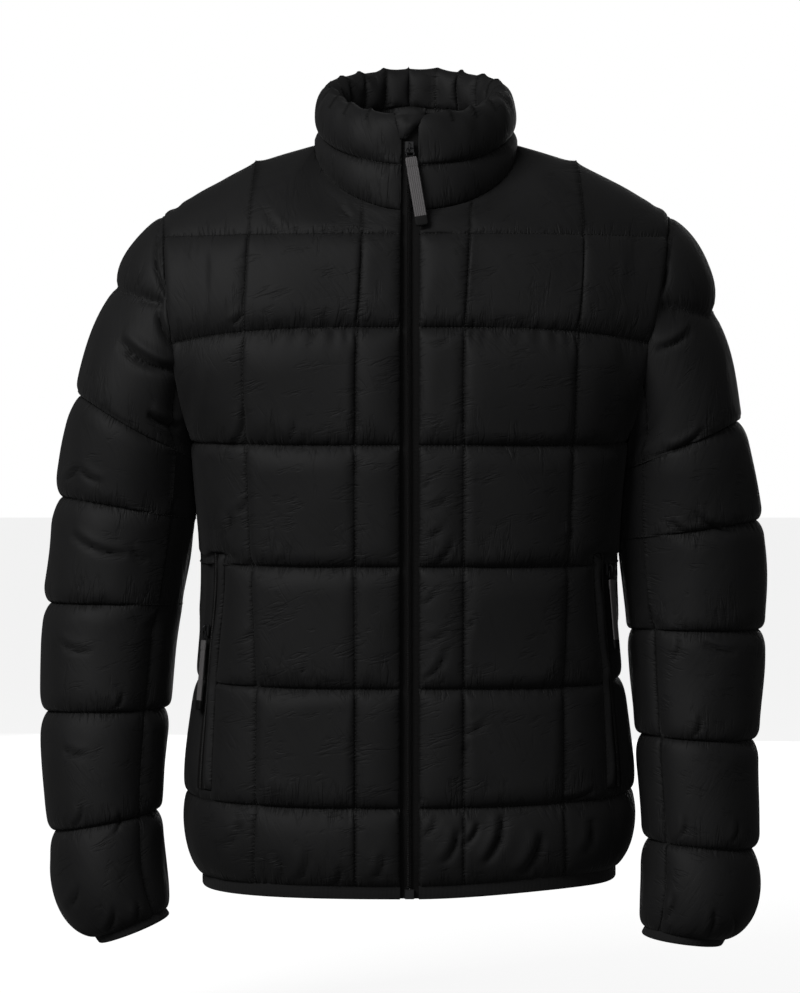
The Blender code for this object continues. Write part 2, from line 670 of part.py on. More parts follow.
def binding_sections(edge, downward, outward, height):
    """Outlines of a folded binding that hangs from an edge of the cloth, a seam gap below it."""
    down = unit(downward)
    out = unit(outward - (outward * down).sum(-1, keepdims=True) * down)
    corners = [(side * BINDING_WALL, max(drop * height, GAP / 2)) for side, drop in BINDING_OUTLINE]
    return np.stack([edge + out * side + down * drop for side, drop in corners], axis=1)


def box_mesh(size, centre, bevel):
    shape = bmesh.new()
    bmesh.ops.create_cube(shape, size=1.0)
    bmesh.ops.scale(shape, vec=size, verts=shape.verts)
    bmesh.ops.bevel(
        shape, geom=list(shape.edges), offset=bevel, segments=1, profile=0.5, affect="EDGES",
    )
    bmesh.ops.translate(shape, vec=centre, verts=shape.verts)
    return shape


def add_box(name, size, centre, bevel, material, parent):
    shape = box_mesh(size, centre, bevel)
    mesh = bpy.data.meshes.new(name)
    shape.to_mesh(mesh)
    shape.free()
    mesh.materials.append(MATERIALS[material])
    piece = bpy.data.objects.new(name, mesh)
    JACKET.objects.link(piece)
    piece.parent = parent
    return piece


def add_wire(name, points, radius, closed):
    """A bent wire as a mesh with welded caps."""
    curve = bpy.data.curves.new(name, "CURVE")
    curve.dimensions = "3D"
    curve.bevel_depth = radius
    curve.bevel_resolution = 1
    curve.use_fill_caps = not closed
    spline = curve.splines.new("POLY")
    spline.points.add(len(points) - 1)
    for point, place in zip(spline.points, points):
        point.co = (*place, 1.0)
    spline.use_cyclic_u = closed
    guide = bpy.data.objects.new(name + "_curve", curve)
    JACKET.objects.link(guide)
    bpy.context.view_layer.update()
    mesh = bpy.data.meshes.new_from_object(
        guide.evaluated_get(bpy.context.evaluated_depsgraph_get())
    )
    bpy.data.objects.remove(guide, do_unlink=True)
    shape = bmesh.new()
    shape.from_mesh(mesh)
    bmesh.ops.remove_doubles(shape, verts=shape.verts, dist=WELD)
    bmesh.ops.recalc_face_normals(shape, faces=shape.faces)
    shape.to_mesh(mesh)
    shape.free()
    piece = bpy.data.objects.new(name, mesh)
    return piece


def add_slider(name, frame):
    """Slider plate with an arched bridge; frame maps x across, -y out of the cloth, z up."""
    plate = add_box(name, SLIDER_SIZE, (0, 0, 0), METAL_BEVEL, "slider", None)
    front, half, top = -SLIDER_SIZE[1] / 2, BRIDGE_HALF_LENGTH, BRIDGE_HEIGHT
    rise = [
        (0, front + BRIDGE_SUNK, half),
        (0, front - BRIDGE_SHOULDER * top, half),
        (0, front - top, BRIDGE_SHOULDER * half),
    ]
    arch = rise + [(x, y, -z) for x, y, z in reversed(rise)]
    bridge = add_wire(name + "_bridge", arch, BRIDGE_RADIUS, closed=False)
    CUTTERS.objects.link(bridge)
    bridge.hide_render = True
    bridge.display_type = "WIRE"
    join = plate.modifiers.new("bridge", "BOOLEAN")
    join.operation = "UNION"
    join.object = bridge
    for piece in (plate, bridge):
        piece.matrix_world = frame
    return plate


def add_pull(names, pivot_frame):
    """Wire loop, webbing tab and moulded tip hanging down -z from the pivot at the frame's origin."""
    pivot = bpy.data.objects.new(names[0] + "_pivot", None)
    JACKET.objects.link(pivot)
    pivot.matrix_world = pivot_frame
    half, corner, drop = LOOP_HALF_WIDTH, LOOP_CORNER, LOOP_LENGTH
    outline = [
        (-half + corner, 0, 0), (half - corner, 0, 0), (half, 0, -corner),
        (half, 0, corner - drop), (half - corner, 0, -drop), (corner - half, 0, -drop),
        (-half, 0, corner - drop), (-half, 0, -corner),
    ]
    loop = add_wire(names[0], outline, LOOP_RADIUS, closed=True)
    JACKET.objects.link(loop)
    loop.data.materials.clear()
    loop.data.materials.append(MATERIALS["slider"])
    loop.parent = pivot
    tab_top = -drop - LOOP_RADIUS - GAP
    tab_middle = (0, 0, tab_top - TAB_SIZE[2] / 2)
    add_box(names[1], TAB_SIZE, tab_middle, TAB_BEVEL, "webbing", pivot)
    tip_middle = (0, 0, tab_top - TAB_SIZE[2] - GAP - TIP_SIZE[2] / 2)
    add_box(names[2], TIP_SIZE, tip_middle, TIP_BEVEL, "tip", pivot)
    return pivot


def frame_matrix(place, out, up):
    """A frame at a place: z along up, -y out of the cloth as nearly as that allows."""
    up = Vector(up).normalized()
    out = Vector(out)
    back = -(out - up * out.dot(up)).normalized()
    matrix = Matrix((back.cross(up), back, up)).transposed().to_4x4()
    matrix.translation = Vector(place)
    return matrix


def add_slider_and_pull(names, place, out, up, hang):
    """A slider on a zip at a place, and its pull hanging along hang from the slider's bridge."""
    frame = frame_matrix(place, out, up)
    add_slider(names[0], frame)
    pivot = frame @ Vector((0, -SLIDER_SIZE[1] / 2 - PIVOT_STANDOFF, -PIVOT_DROP))
    add_pull(names[1:], frame_matrix(pivot, out, -Vector(hang)))


# ------------------------------------------------------------------ the jacket

clear_scene()
JACKET = new_collection("puffer_jacket")
CUTTERS = new_collection("cutters")
CUTTERS.hide_render = True
MATERIALS = {name: cloth_material(name) for name in CLOTHS}

# Base grids of every shell panel. Columns run towards +X.
front_quarter = torso_quarter(-1)
back_quarter = torso_quarter(1)
fronts = {1: leaned(front_quarter), -1: leaned(mirrored(front_quarter))}
back = leaned(np.concatenate([mirrored(back_quarter), back_quarter[:, 1:]], axis=1))
sleeves = {}
for side in (1, -1):
    front_edge = fronts[side][ARMPIT_ROW:, -1 if side > 0 else 0]
    back_edge = back[ARMPIT_ROW:, -1 if side > 0 else 0]
    sleeves[side] = sleeve_grid(side, np.concatenate([front_edge, back_edge[-2::-1]]))

body_centre = np.array([0, 0, -0.33])
sleeve_centres = {side: sleeves[side].reshape(-1, 3).mean(axis=0) for side in sleeves}
shell = [fronts[1], fronts[-1], back, sleeves[1], sleeves[-1]]
shell_normals = grid_normals(
    shell, [body_centre, body_centre, body_centre, sleeve_centres[1], sleeve_centres[-1]]
)
front_normals = {1: shell_normals[0], -1: shell_normals[1]}
back_normals = shell_normals[2]
sleeve_normals = {1: shell_normals[3], -1: shell_normals[4]}

# Fronts and back.
front_share = upright_profile(front_quarter, LINE_COLUMNS)
front_loft = torso_loft(front_quarter, front_share, pockets=True)
front_outsides = {
    1: panel("front_left", fronts[1], front_normals[1], front_loft),
    -1: panel("front_right", fronts[-1], front_normals[-1], front_loft[:, ::-1]),
}
back_lines = [COLUMNS - column for column in LINE_COLUMNS[:0:-1]]
back_lines += [COLUMNS + column for column in LINE_COLUMNS[1:]]
back_share = upright_profile(back, back_lines)[:, COLUMNS:]
back_loft = torso_loft(back_quarter, back_share, pockets=False)
panel("back", back, back_normals, np.concatenate([back_loft[:, :0:-1], back_loft], axis=1))

# Sleeves: the wide upper half and the narrow under half, between the two lengthwise seams.
first, last = UNDER_COLUMNS, SLEEVE_COLUMNS - UNDER_COLUMNS
for side in (1, -1):
    loft = sleeve_loft(side, sleeves[side])
    grids = (sleeves[side], sleeve_normals[side], loft)
    upper = [grid[:, first:last + 1] for grid in grids]
    under = [np.concatenate([grid[:, last:-1], grid[:, :first + 1]], axis=1) for grid in grids]
    panel("sleeve_" + CUFF_NAME[side] + "_upper", *upper)
    panel("sleeve_" + CUFF_NAME[side] + "_under", *under)

# Collar: the neckline's points run from the left front edge round the back to the right one.
neck = np.concatenate([
    front_quarter[-1, :NECK_COLUMNS],
    back_quarter[-1, NECK_COLUMNS::-1],
    (back_quarter[-1] * (-1, 1, 1))[1:NECK_COLUMNS],
    (front_quarter[-1] * (-1, 1, 1))[NECK_COLUMNS::-1],
])
collar, facing = collar_grids(neck)
collar_middle = np.array([LEAN, -0.015, 0.02])
collar_normals, facing_normals = grid_normals([collar, facing], [collar_middle, collar_middle])
facing_normals = -facing_normals
facing_normals[0] = collar_normals[-1]
channel = bulge(places_down(collar, (0, COLLAR_ROWS, 2 * COLLAR_ROWS)))
around = np.ones(len(neck))
around[[0, -1]] = COLLAR_EDGE_SHARE
channel[:COLLAR_ROWS] *= COLLAR_LOWER_SHARE
collar_outside = panel("collar", collar, collar_normals, COLLAR_LOFT * channel * around)
ribs = np.where(np.arange(len(neck)) % 2 == 1, 1.0, FACING_VALLEY_SHARE)
facing_loft = FACING_LOFT * bulge(places_down(facing, (0, COLLAR_ROWS, len(facing) - 1))) * ribs
facing_loft[COLLAR_ROWS:] = 0.0
panel("collar_facing", facing, facing_normals, facing_loft, wall=FACING_WALL)

# Zip: its path runs up the middle, from the hem to just under the collar's rim.
front_edge_points = np.concatenate([front_quarter[:, 0], collar[1:, 0]])
zip_path = front_edge_points * (0, 1, 1)
zip_out = np.concatenate([front_normals[1][:, 0], collar_normals[1:, 0]]) * (0, 1, 1)
for side in (1, -1):
    bar("zip_tape_" + CUFF_NAME[side], tape_sections(zip_path[:-1], zip_out[:-1], side), "tape")

below_slider = zip_path[:, 2] < SLIDER_Z - SLIDER_SIZE[2] / 2
slider_place = np.array([np.interp(SLIDER_Z, zip_path[:, 2], zip_path[:, axis]) for axis in range(3)])
coil_path = np.concatenate([zip_path[below_slider], slider_place[None]])
coil_out = np.concatenate([zip_out[below_slider], [[0, -1.0, 0]]])
box_height = ZIP_BOX_SIZE[2]
coil_path[0, 2] += box_height - HEM_BINDING_HEIGHT + 2 * GAP
coil_depths = (-WALL, COIL_THICKNESS - WALL)
bar("zip_coil", oval_sections(coil_path, coil_out, COIL_WIDTH, coil_depths), "coil")
box_place = (0, zip_path[0, 1] + WALL - ZIP_BOX_SIZE[1] / 2, coil_path[0, 2] - GAP - box_height / 2)
add_box("zip_box", ZIP_BOX_SIZE, box_place, METAL_BEVEL, "slider", None)

slider_place[1] -= COIL_THICKNESS - WALL + GAP + SLIDER_SIZE[1] / 2
hang = (
    math.sin(PULL_TILT) * math.cos(PULL_LEAN),
    -math.sin(PULL_LEAN),
    -math.cos(PULL_TILT) * math.cos(PULL_LEAN),
)
add_slider_and_pull(
    ("zip_slider", "zip_loop", "zip_pull", "zip_pull_tip"), slider_place, (0, -1, 0), (0, 0, 1), hang,
)

edge_z, edge_y = collar_outside[:, -1, 2], collar_outside[:, [0, -1], 1].min(axis=1)
garage = [dict(zip(GARAGE_FIELDS, row)) for row in GARAGE_TABLE]
garage_inside = np.array([
    np.linspace(
        (row["left"], np.interp(row["z"], edge_z, edge_y) - GARAGE_STAND, row["z"]),
        (row["right"], np.interp(row["z"], edge_z, edge_y) - GARAGE_STAND, row["z"]),
        GARAGE_COLUMNS + 1,
    )
    for row in garage
])
(garage_normals,) = grid_normals([garage_inside], [collar_middle])
wall_piece("zip_garage", garage_inside + garage_normals * GARAGE_WALL, garage_inside, "shell")

# Bindings round the hem and the cuffs.
hem_edge = np.concatenate([fronts[1][0], back[0][-2::-1], fronts[-1][0][1:]])
hem_out = np.concatenate([front_normals[1][0], back_normals[0][-2::-1], front_normals[-1][0][1:]])
downward = np.tile([0, 0, -1.0], (len(hem_edge), 1))
bar("hem_binding", binding_sections(hem_edge, downward, hem_out, HEM_BINDING_HEIGHT), "binding")
for side in (1, -1):
    ring = sleeves[side][-1, :-1]
    along = unit((sleeves[side][-1] - sleeves[side][-4]).mean(axis=0))
    sections = binding_sections(
        ring, np.tile(along, (len(ring), 1)), sleeve_normals[side][-1, :-1], CUFF_BINDING_HEIGHT
    )
    bar("cuff_binding_" + CUFF_NAME[side], sections, "binding", closed=True)

# Pockets: a welt, a tape with its coil, a slider and a pull on each front, by the side seam.
pocket_rows = slice(POCKET_ROWS[0], POCKET_ROWS[1] + 1)
for side in (1, -1):
    end = CUFF_NAME[side]
    first = POCKET_COLUMN if side > 0 else COLUMNS - POCKET_COLUMN - 2
    strip = front_outsides[side][pocket_rows, first:first + 3]
    strip_out = front_normals[side][pocket_rows, first:first + 3]
    welt, tape = (slice(0, 2), slice(1, 3))[::side]
    for name, part, wall, material in (
        ("pocket_welt_", welt, WELT_WALL, "shell"), ("pocket_tape_", tape, TAPE_THICKNESS, "tape"),
    ):
        base, out = drawn_in(strip[:, part]), strip_out[:, part]
        wall_piece(name + end, base + out * (GAP + wall), base + out * GAP, material)
    middle = strip[:, tape].mean(axis=1)
    middle_out = unit(strip_out[:, tape].sum(axis=1))
    low = GAP + TAPE_THICKNESS + POCKET_COIL_GAP
    sections = oval_sections(middle, middle_out, COIL_WIDTH, (low, low + COIL_THICKNESS))
    bar("pocket_coil_" + end, sections, "coil")
    row = POCKET_SLIDER_ROW[side] - POCKET_ROWS[0]
    rows = np.arange(len(middle))
    place = np.array([np.interp(row, rows, middle[:, axis]) for axis in range(3)])
    out = unit(np.array([np.interp(row, rows, middle_out[:, axis]) for axis in range(3)]))
    up = middle[math.ceil(row)] - middle[math.floor(row)]
    place = place + out * (low + COIL_THICKNESS + GAP + SLIDER_SIZE[1] / 2)
    hang = unit(out * (1, 1, 0)) * math.sin(POCKET_PULL_LEAN)
    hang[2] = -math.cos(POCKET_PULL_LEAN)
    names = [name + end for name in ("pocket_slider_", "pocket_loop_", "pocket_pull_", "pocket_pull_tip_")]
    add_slider_and_pull(names, place, out, up, hang)
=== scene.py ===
import json
import math
from concurrent.futures import ThreadPoolExecutor

import bpy
import numpy as np
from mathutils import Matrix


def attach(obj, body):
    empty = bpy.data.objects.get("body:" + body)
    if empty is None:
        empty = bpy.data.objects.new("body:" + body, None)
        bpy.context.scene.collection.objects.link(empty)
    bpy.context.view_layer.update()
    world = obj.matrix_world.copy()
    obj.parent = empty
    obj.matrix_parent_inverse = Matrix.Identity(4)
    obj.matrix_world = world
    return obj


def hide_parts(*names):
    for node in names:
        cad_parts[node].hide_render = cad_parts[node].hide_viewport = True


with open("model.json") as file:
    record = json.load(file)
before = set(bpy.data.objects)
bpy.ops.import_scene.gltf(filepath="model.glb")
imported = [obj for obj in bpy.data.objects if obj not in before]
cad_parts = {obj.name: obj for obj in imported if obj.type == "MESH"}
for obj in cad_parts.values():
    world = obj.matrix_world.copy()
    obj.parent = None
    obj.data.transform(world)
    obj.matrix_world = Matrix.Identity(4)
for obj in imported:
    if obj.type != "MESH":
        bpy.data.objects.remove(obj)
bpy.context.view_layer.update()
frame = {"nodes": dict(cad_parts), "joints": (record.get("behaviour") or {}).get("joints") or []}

# ---------------------------------------------------------------- studio
# The jacket stands over a plain pale floor, filled out and held at its shoulders.
# The camera is level with the middle of the jacket, three metres in front of it.

CAMERA_PLACE, VIEW_HEIGHT, VIEW_SHIFT, SENSOR = (-0.0086, -3.0, -0.33), 0.94335, 8.5 / 993, 36.0
LIGHT_AIM, AIR_TONE, FLOOR_TONE, FLOOR_GLOW = (0, 0, -0.3), 0.07, 0.30, 0.86
FLOOR_Z, FLOOR_REACH = -0.82, 60

scene = bpy.context.scene
scene.view_settings.view_transform = "Standard"
scene.view_settings.look = "None"

camera = bpy.data.objects.new("camera", bpy.data.cameras.new("camera"))
camera.data.sensor_fit = "VERTICAL"
camera.data.sensor_height = camera.data.sensor_width = SENSOR
camera.data.lens = -SENSOR * CAMERA_PLACE[1] / VIEW_HEIGHT
camera.data.shift_y = VIEW_SHIFT
camera.location = CAMERA_PLACE
camera.rotation_euler = (math.pi / 2, 0, 0)
scene.collection.objects.link(camera)
scene.camera = camera

for name, place, width, height, power in (
    ("key_light", (-2.0, -2.3, 1.7), 2.0, 1.4, 98),
    ("front_light", (0.4, -3.6, 0.3), 2.6, 2.2, 17),
    ("back_light", (0.5, 3.4, 0.3), 2.6, 2.2, 32),
):
    lamp = bpy.data.lights.new(name, "AREA")
    lamp.shape = "RECTANGLE"
    lamp.size, lamp.size_y = width, height
    lamp.energy = power
    light = bpy.data.objects.new(name, lamp)
    light.location = place
    aim = np.array(LIGHT_AIM) - place
    light.rotation_euler = (
        math.atan2(math.hypot(aim[0], aim[1]), -aim[2]), 0, math.atan2(-aim[0], aim[1]))
    scene.collection.objects.link(light)

# The air is white where the camera looks past the jacket, and gives it only a dim light.
world = bpy.data.worlds.new("studio")
scene.world = world
world.use_nodes = True
air = world.node_tree
seen, white, either = (
    air.nodes.new("ShaderNode" + kind) for kind in ("LightPath", "Background", "MixShader"))
dim = air.nodes["Background"]
white.inputs["Color"].default_value = (1.0, 1.0, 1.0, 1.0)
dim.inputs["Color"].default_value = (AIR_TONE, AIR_TONE, AIR_TONE, 1.0)
for output, socket in (
    (seen.outputs["Is Camera Ray"], either.inputs[0]), (dim.outputs[0], either.inputs[1]),
    (white.outputs[0], either.inputs[2]), (either.outputs[0], air.nodes["World Output"].inputs[0]),
):
    air.links.new(output, socket)


class Number:
    """A number that a material works out; arithmetic on it adds Math nodes."""

    def __init__(self, socket):
        self.socket = socket

    def math(self, operation, first, second):
        nodes = self.socket.id_data
        step = nodes.nodes.new("ShaderNodeMath")
        step.operation = operation
        for slot, value in zip(step.inputs, (first, second)):
            if isinstance(value, Number):
                nodes.links.new(value.socket, slot)
            else:
                slot.default_value = value
        return Number(step.outputs[0])

    def __abs__(self):
        return self.math("ABSOLUTE", self, 0.0)

    def least(self, other):
        return self.math("MINIMUM", self, other)

    def clamped(self):
        return self.math("MAXIMUM", self, 0.0).least(1.0)


for sign, word in (("add", "ADD"), ("sub", "SUBTRACT"), ("mul", "MULTIPLY"), ("truediv", "DIVIDE"),
                   ("pow", "POWER")):
    setattr(Number, f"__{sign}__", lambda self, other, word=word: self.math(word, self, other))
    setattr(Number, f"__r{sign}__", lambda self, other, word=word: self.math(word, other, self))


class Finish:
    """A material: its nodes are added by one method, and its shader's sockets set by another."""

    def __init__(self, name):
        self.material = bpy.data.materials.new(name)
        self.material.use_nodes = True
        self.tree = self.material.node_tree
        self.shader = self.tree.nodes["Principled BSDF"]

    def put(self, socket, value):
        if isinstance(value, Number):
            value = value.socket
        if isinstance(value, bpy.types.NodeSocket):
            self.tree.links.new(value, socket)
        else:
            socket.default_value = value

    def node(self, kind, settings=(), **inputs):
        """Adds a node, sets it, then its sockets; returns its outputs."""
        made = self.tree.nodes.new("ShaderNode" + kind)
        for name, value in dict(settings).items():
            setattr(made, name, value)
        for name, value in inputs.items():
            self.put(made.inputs[name.replace("_", " ")], value)
        return made.outputs

    def place(self, name):
        return self.node("TexCoord")[name]

    def wave(self, place, scale, way):
        settings = {"bands_direction": way}
        return Number(self.node("TexWave", settings, Vector=place, Scale=scale)["Fac"])

    def noise(self, place, scale, detail=2.0, **rest):
        made = self.node("TexNoise", Vector=place, Scale=scale, Detail=detail, **rest)
        return Number(made["Fac"])

    def bump(self, height, strength, distance, **rest):
        made = self.node("Bump", Height=height, Strength=strength, Distance=distance, **rest)
        return made["Normal"]

    def mixed(self, factor, first, second):
        """The colour this share of the way from the first to the second."""
        mix = self.node("Mix", {"data_type": "RGBA"})
        for socket, value in zip(("Factor", 6, 7), (factor, first, second)):
            self.put(self.tree.nodes[-1].inputs[socket], value)
        return mix[2]

    def shade(self, **inputs):
        for name, value in inputs.items():
            self.put(self.shader.inputs[name.replace("_", " ")], value)


floor_finish = Finish("studio_floor")
floor_finish.shade(Base_Color=(FLOOR_TONE, FLOOR_TONE, FLOOR_TONE, 1), Roughness=0.9,
                   Emission_Color=(1, 1, 1, 1), Emission_Strength=FLOOR_GLOW)
floor_mesh = bpy.data.meshes.new("studio_floor")
floor_mesh.from_pydata(
    [(x * FLOOR_REACH, y * FLOOR_REACH, FLOOR_Z) for x, y in ((-1, -1), (1, -1), (1, 2), (-1, 2))],
    [], [(0, 1, 2, 3)])
floor_mesh.materials.append(floor_finish.material)
floor = bpy.data.objects.new("studio_floor", floor_mesh)
scene.collection.objects.link(floor)
floor.visible_diffuse = False
floor.visible_glossy = False

# ---------------------------------------------------------------- torso
# Two fronts and one back of black nylon, each two layers with down between them, sewn through
# along level and upright lines. The nylon is cut larger than the lining, so it stands up in a
# cushion between the lines and puckers where it is gathered into them.

MM = 0.001
WALL = 2.5 * MM
UPRIGHT_LOFT = 4.5 * MM
YOKE_LIFT, YOKE_EASE = 3 * MM, 2.5
EDGE_LOFT = 2.5 * MM

# Level lines from the hem up: cells up to the next, height at the centre and at the side, half
# width, front and back depth, place of the outer upright line and of the pocket's front edge,
# fullness of the baffle above, and place round the armhole in degrees from its top.
TORSO_FIELDS = (
    "name", "cells", "stitched", "z", "z_side", "half_width", "front", "back",
    "outer_line", "pocket_line", "full", "armhole",
)
TORSO = [dict(zip(TORSO_FIELDS, row)) for row in (
    ("hem", 14, 1, -0.678, -0.677, 0.1945, -0.127, 0.119, 0.140, 0.176, 1.00, None),
    ("low", 18, 0, -0.650, -0.646, 0.2055, -0.130, 0.122, 0.140, 0.182, 0.95, None),
    ("fifth", 44, 1, -0.606, -0.598, 0.2085, -0.129, 0.119, 0.139, 0.183, 1.00, None),
    ("fourth", 44, 1, -0.4975, -0.491, 0.1965, -0.128, 0.110, 0.139, 0.179, 1.00, None),
    ("third", 44, 1, -0.3865, -0.382, 0.1900, -0.130, 0.113, 0.143, 0.170, 1.00, None),
    ("second", 36, 1, -0.2760, -0.266, 0.2035, -0.133, 0.128, 0.148, 0.180, 1.00, 180),
    ("first", 36, 1, -0.1685, None, None, -0.128, 0.131, 0.152, 0.180, 0.80, 101),
    ("yoke", 36, 1, -0.0830, None, None, -0.112, 0.112, 0.153, 0.185, 0.60, 42),
    ("top", 0, 1, None, None, None, None, None, 0.150, 0.180, 0.00, 0),
)]
TORSO_CELLS = [row["cells"] for row in TORSO[:-1]]
TORSO_ENDS = [(1, 0), (0, 1)] + [(1, 1)] * 6
ARMPIT_KNOT = 5
# Columns of a quarter between its upright lines: front edge, inner line, neck end of the shoulder
# seam, outer line, pocket's front edge, side seam; each stretch starts at this place of the twelve
# that the armhole's pull is counted in.
COLUMN_CELLS = (16, 29, 11, 16, 36)
COLUMN_PLACES = ((0, 1, 2), (2, 3, 4, 5), (5, 6), (6, 7, 8), (8, 9, 10, 11, 12))
COLUMN_SHARES = ((0, 0.5, 1), (0, 0.24, 0.6, 1), (0, 1), (0, 0.4, 1), (0, 0.15, 0.34, 0.66, 1))
NECK_CELLS = COLUMN_CELLS[0] + COLUMN_CELLS[1]
TORSO_COLUMNS = sum(COLUMN_CELLS)
LINE_COLUMNS = (0, COLUMN_CELLS[0], sum(COLUMN_CELLS[:3]), TORSO_COLUMNS)
POCKET_COLUMN = sum(COLUMN_CELLS[:4])
FRONT_EDGE, INNER_LINE, CORNER_SHARE = 8.5 * MM, 49 * MM, 0.8
FRONT_FULLNESS, SIDE_FULLNESS = 0.70, 0.66
CROWDING = 0.55
CHEST_REACH, ARMHOLE_REACH, ARMHOLE_TURN = 0.120, 0.080, math.radians(31)
NECK_SIDE, NECK_SIDE_Z = 0.095, 0.012
NECK_FRONT, NECK_BACK = (-0.104, -0.060), (0.068, 0.012)
SHOULDER_TIP, SHOULDER_RISE = (0.235, -0.055), 9 * MM
NECK_LIFT, SHOULDER_LIFT = 0.6, 0.10
ARMPIT, ARMPIT_SPREAD = (0.2035, -0.266), 0.27
ARMHOLE_DEPTH, ARMHOLE_BULGE = {-1: 0.085, 1: 0.083}, 4 * MM
LEAN, LEAN_FROM, LEAN_TO, LEAN_HALF_WIDTH = 6.5 * MM, -0.22, -0.06, 0.05
HEM_RISE, HEM_RISE_WIDTH, HEM_RISE_FROM, HEM_RISE_TO = 7 * MM, 0.17, -0.56, -0.66


def unit(vectors):
    return vectors / np.maximum(np.linalg.norm(vectors, axis=-1, keepdims=True), 1e-9)


def smooth(value):
    """3 t squared less 2 t cubed, t held to 0 to 1."""
    value = np.clip(value, 0.0, 1.0)
    return value * value * (3 - 2 * value)


def lengths_along(curve):
    return np.concatenate([[0.0], np.cumsum(np.linalg.norm(np.diff(curve, axis=0), axis=1))])


def bezier(corners, count=161):
    """Cubic curve through its first and last corner, pulled by the two between."""
    t = np.linspace(0, 1, count)[:, None]
    a, b, c, d = np.array(corners, float)
    return (1 - t) ** 3 * a + 3 * (1 - t) ** 2 * t * b + 3 * (1 - t) * t**2 * c + t**3 * d


def crowded(count, first=1, last=1):
    """Shares 0 to 1 in this many steps, drawn towards the ends that are stitched: t less a share
    of the sine of a whole turn for both ends, or of half a turn for one."""
    t = np.linspace(0, 1, count + 1)
    if first and last:
        return t - CROWDING * np.sin(2 * math.pi * t) / (2 * math.pi)
    return t - (first - last) * CROWDING * np.sin(math.pi * t) / math.pi


def rows_through(knots, cells, ends, start=None, end=None):
    """Rows through knot rows: in each gap the cubic whose slopes at both ends are the directions
    of the chords beside them, weighted by each other's length, for every column at once."""
    chord = np.diff(knots, axis=0)
    length = np.maximum(np.linalg.norm(chord, axis=-1, keepdims=True), 1e-6)
    heading = chord / length
    slope = np.empty_like(knots)
    slope[1:-1] = heading[:-1] * length[1:] + heading[1:] * length[:-1]
    slope[1:-1] /= length[:-1] + length[1:]
    slope[0] = 1.5 * heading[0] - 0.5 * slope[1] if start is None else start
    slope[-1] = 1.5 * heading[-1] - 0.5 * slope[-2] if end is None else end
    rows = [knots[:1]]
    for k, count in enumerate(cells):
        t = crowded(count, *ends[k])[1:, None, None]
        rows.append(
            (2 * t**3 - 3 * t**2 + 1) * knots[k]
            + (t**3 - 2 * t**2 + t) * length[k] * slope[k]
            + (3 * t**2 - 2 * t**3) * knots[k + 1]
            + (t**3 - t**2) * length[k] * slope[k + 1]
        )
    return np.concatenate(rows)


def leaned(points):
    """The pose: the shoulders and collar shift sideways, the zip doesn't, and the hem rises."""
    moved = points.copy()
    share = smooth((points[..., 2] - LEAN_FROM) / (LEAN_TO - LEAN_FROM))
    moved[..., 0] += LEAN * share * smooth(np.abs(points[..., 0]) / LEAN_HALF_WIDTH)
    low = smooth((points[..., 2] - HEM_RISE_FROM) / (HEM_RISE_TO - HEM_RISE_FROM))
    moved[..., 2] += HEM_RISE * low * smooth(points[..., 0] / HEM_RISE_WIDTH)
    return moved


def armhole(degrees, face):
    """The armhole: an ellipse from shoulder tip to armpit that bows outwards by a sine."""
    angle = np.radians(degrees)
    middle = (np.array(SHOULDER_TIP) + ARMPIT) / 2
    x = middle[0] + (SHOULDER_TIP[0] - middle[0]) * np.cos(angle) + ARMHOLE_BULGE * np.sin(angle)
    y = face * ARMHOLE_DEPTH[face] * np.sin(angle)
    z = middle[1] + (SHOULDER_TIP[1] - middle[1]) * np.cos(angle)
    return np.stack([x, y, z], axis=-1)


def level_section(row, face):
    """A level line from the centre to the side seam or armhole: one cubic in plan."""
    start_x = FRONT_EDGE if face < 0 else 0.0
    depth = row["front"] if face < 0 else row["back"]
    if row["half_width"]:
        width = row["half_width"]
        plan = bezier(((start_x, depth), (width * FRONT_FULLNESS, depth),
                       (width, depth * SIDE_FULLNESS), (width, 0)))
        end_z = row["z_side"]
    else:
        edge = armhole(row["armhole"], face)
        plan = bezier(((start_x, depth), (CHEST_REACH, depth),
                       (edge[0] - ARMHOLE_REACH * math.cos(ARMHOLE_TURN),
                        edge[1] + face * ARMHOLE_REACH * math.sin(ARMHOLE_TURN)), edge[:2]))
        end_z = edge[2]
    along = lengths_along(plan) / lengths_along(plan)[-1]
    return np.column_stack([plan, row["z"] + (end_z - row["z"]) * along**3])


def top_section(face):
    """The neckline as a quarter ellipse, then the shoulder seam with a low arch."""
    centre_y, centre_z = NECK_FRONT if face < 0 else NECK_BACK
    angle = np.linspace(math.asin(FRONT_EDGE / NECK_SIDE) if face < 0 else 0.0, math.pi / 2, 81)
    neck = np.column_stack([
        NECK_SIDE * np.sin(angle), centre_y * np.cos(angle),
        NECK_SIDE_Z + (centre_z - NECK_SIDE_Z) * np.cos(angle),
    ])
    along = np.linspace(0, 1, 81)[1:]
    rise = SHOULDER_RISE * np.sin(math.pi * along)
    seam = np.column_stack([
        NECK_SIDE + (SHOULDER_TIP[0] - NECK_SIDE) * along, np.zeros(80),
        NECK_SIDE_Z + (SHOULDER_TIP[1] - NECK_SIDE_Z) * along + rise,
    ])
    return np.concatenate([neck, seam]), lengths_along(neck)[-1]


# Each column's place, counted in stretches: the second and third are one between two stitch lines.
both = crowded(COLUMN_CELLS[1] + COLUMN_CELLS[2])
column_steps = np.concatenate([
    crowded(COLUMN_CELLS[0]), 1 + np.interp(both[1:], (0, both[COLUMN_CELLS[1]], 1), (0, 1, 2)),
    3 + crowded(COLUMN_CELLS[3])[1:], 4 + crowded(COLUMN_CELLS[4], 1, 0)[1:],
])


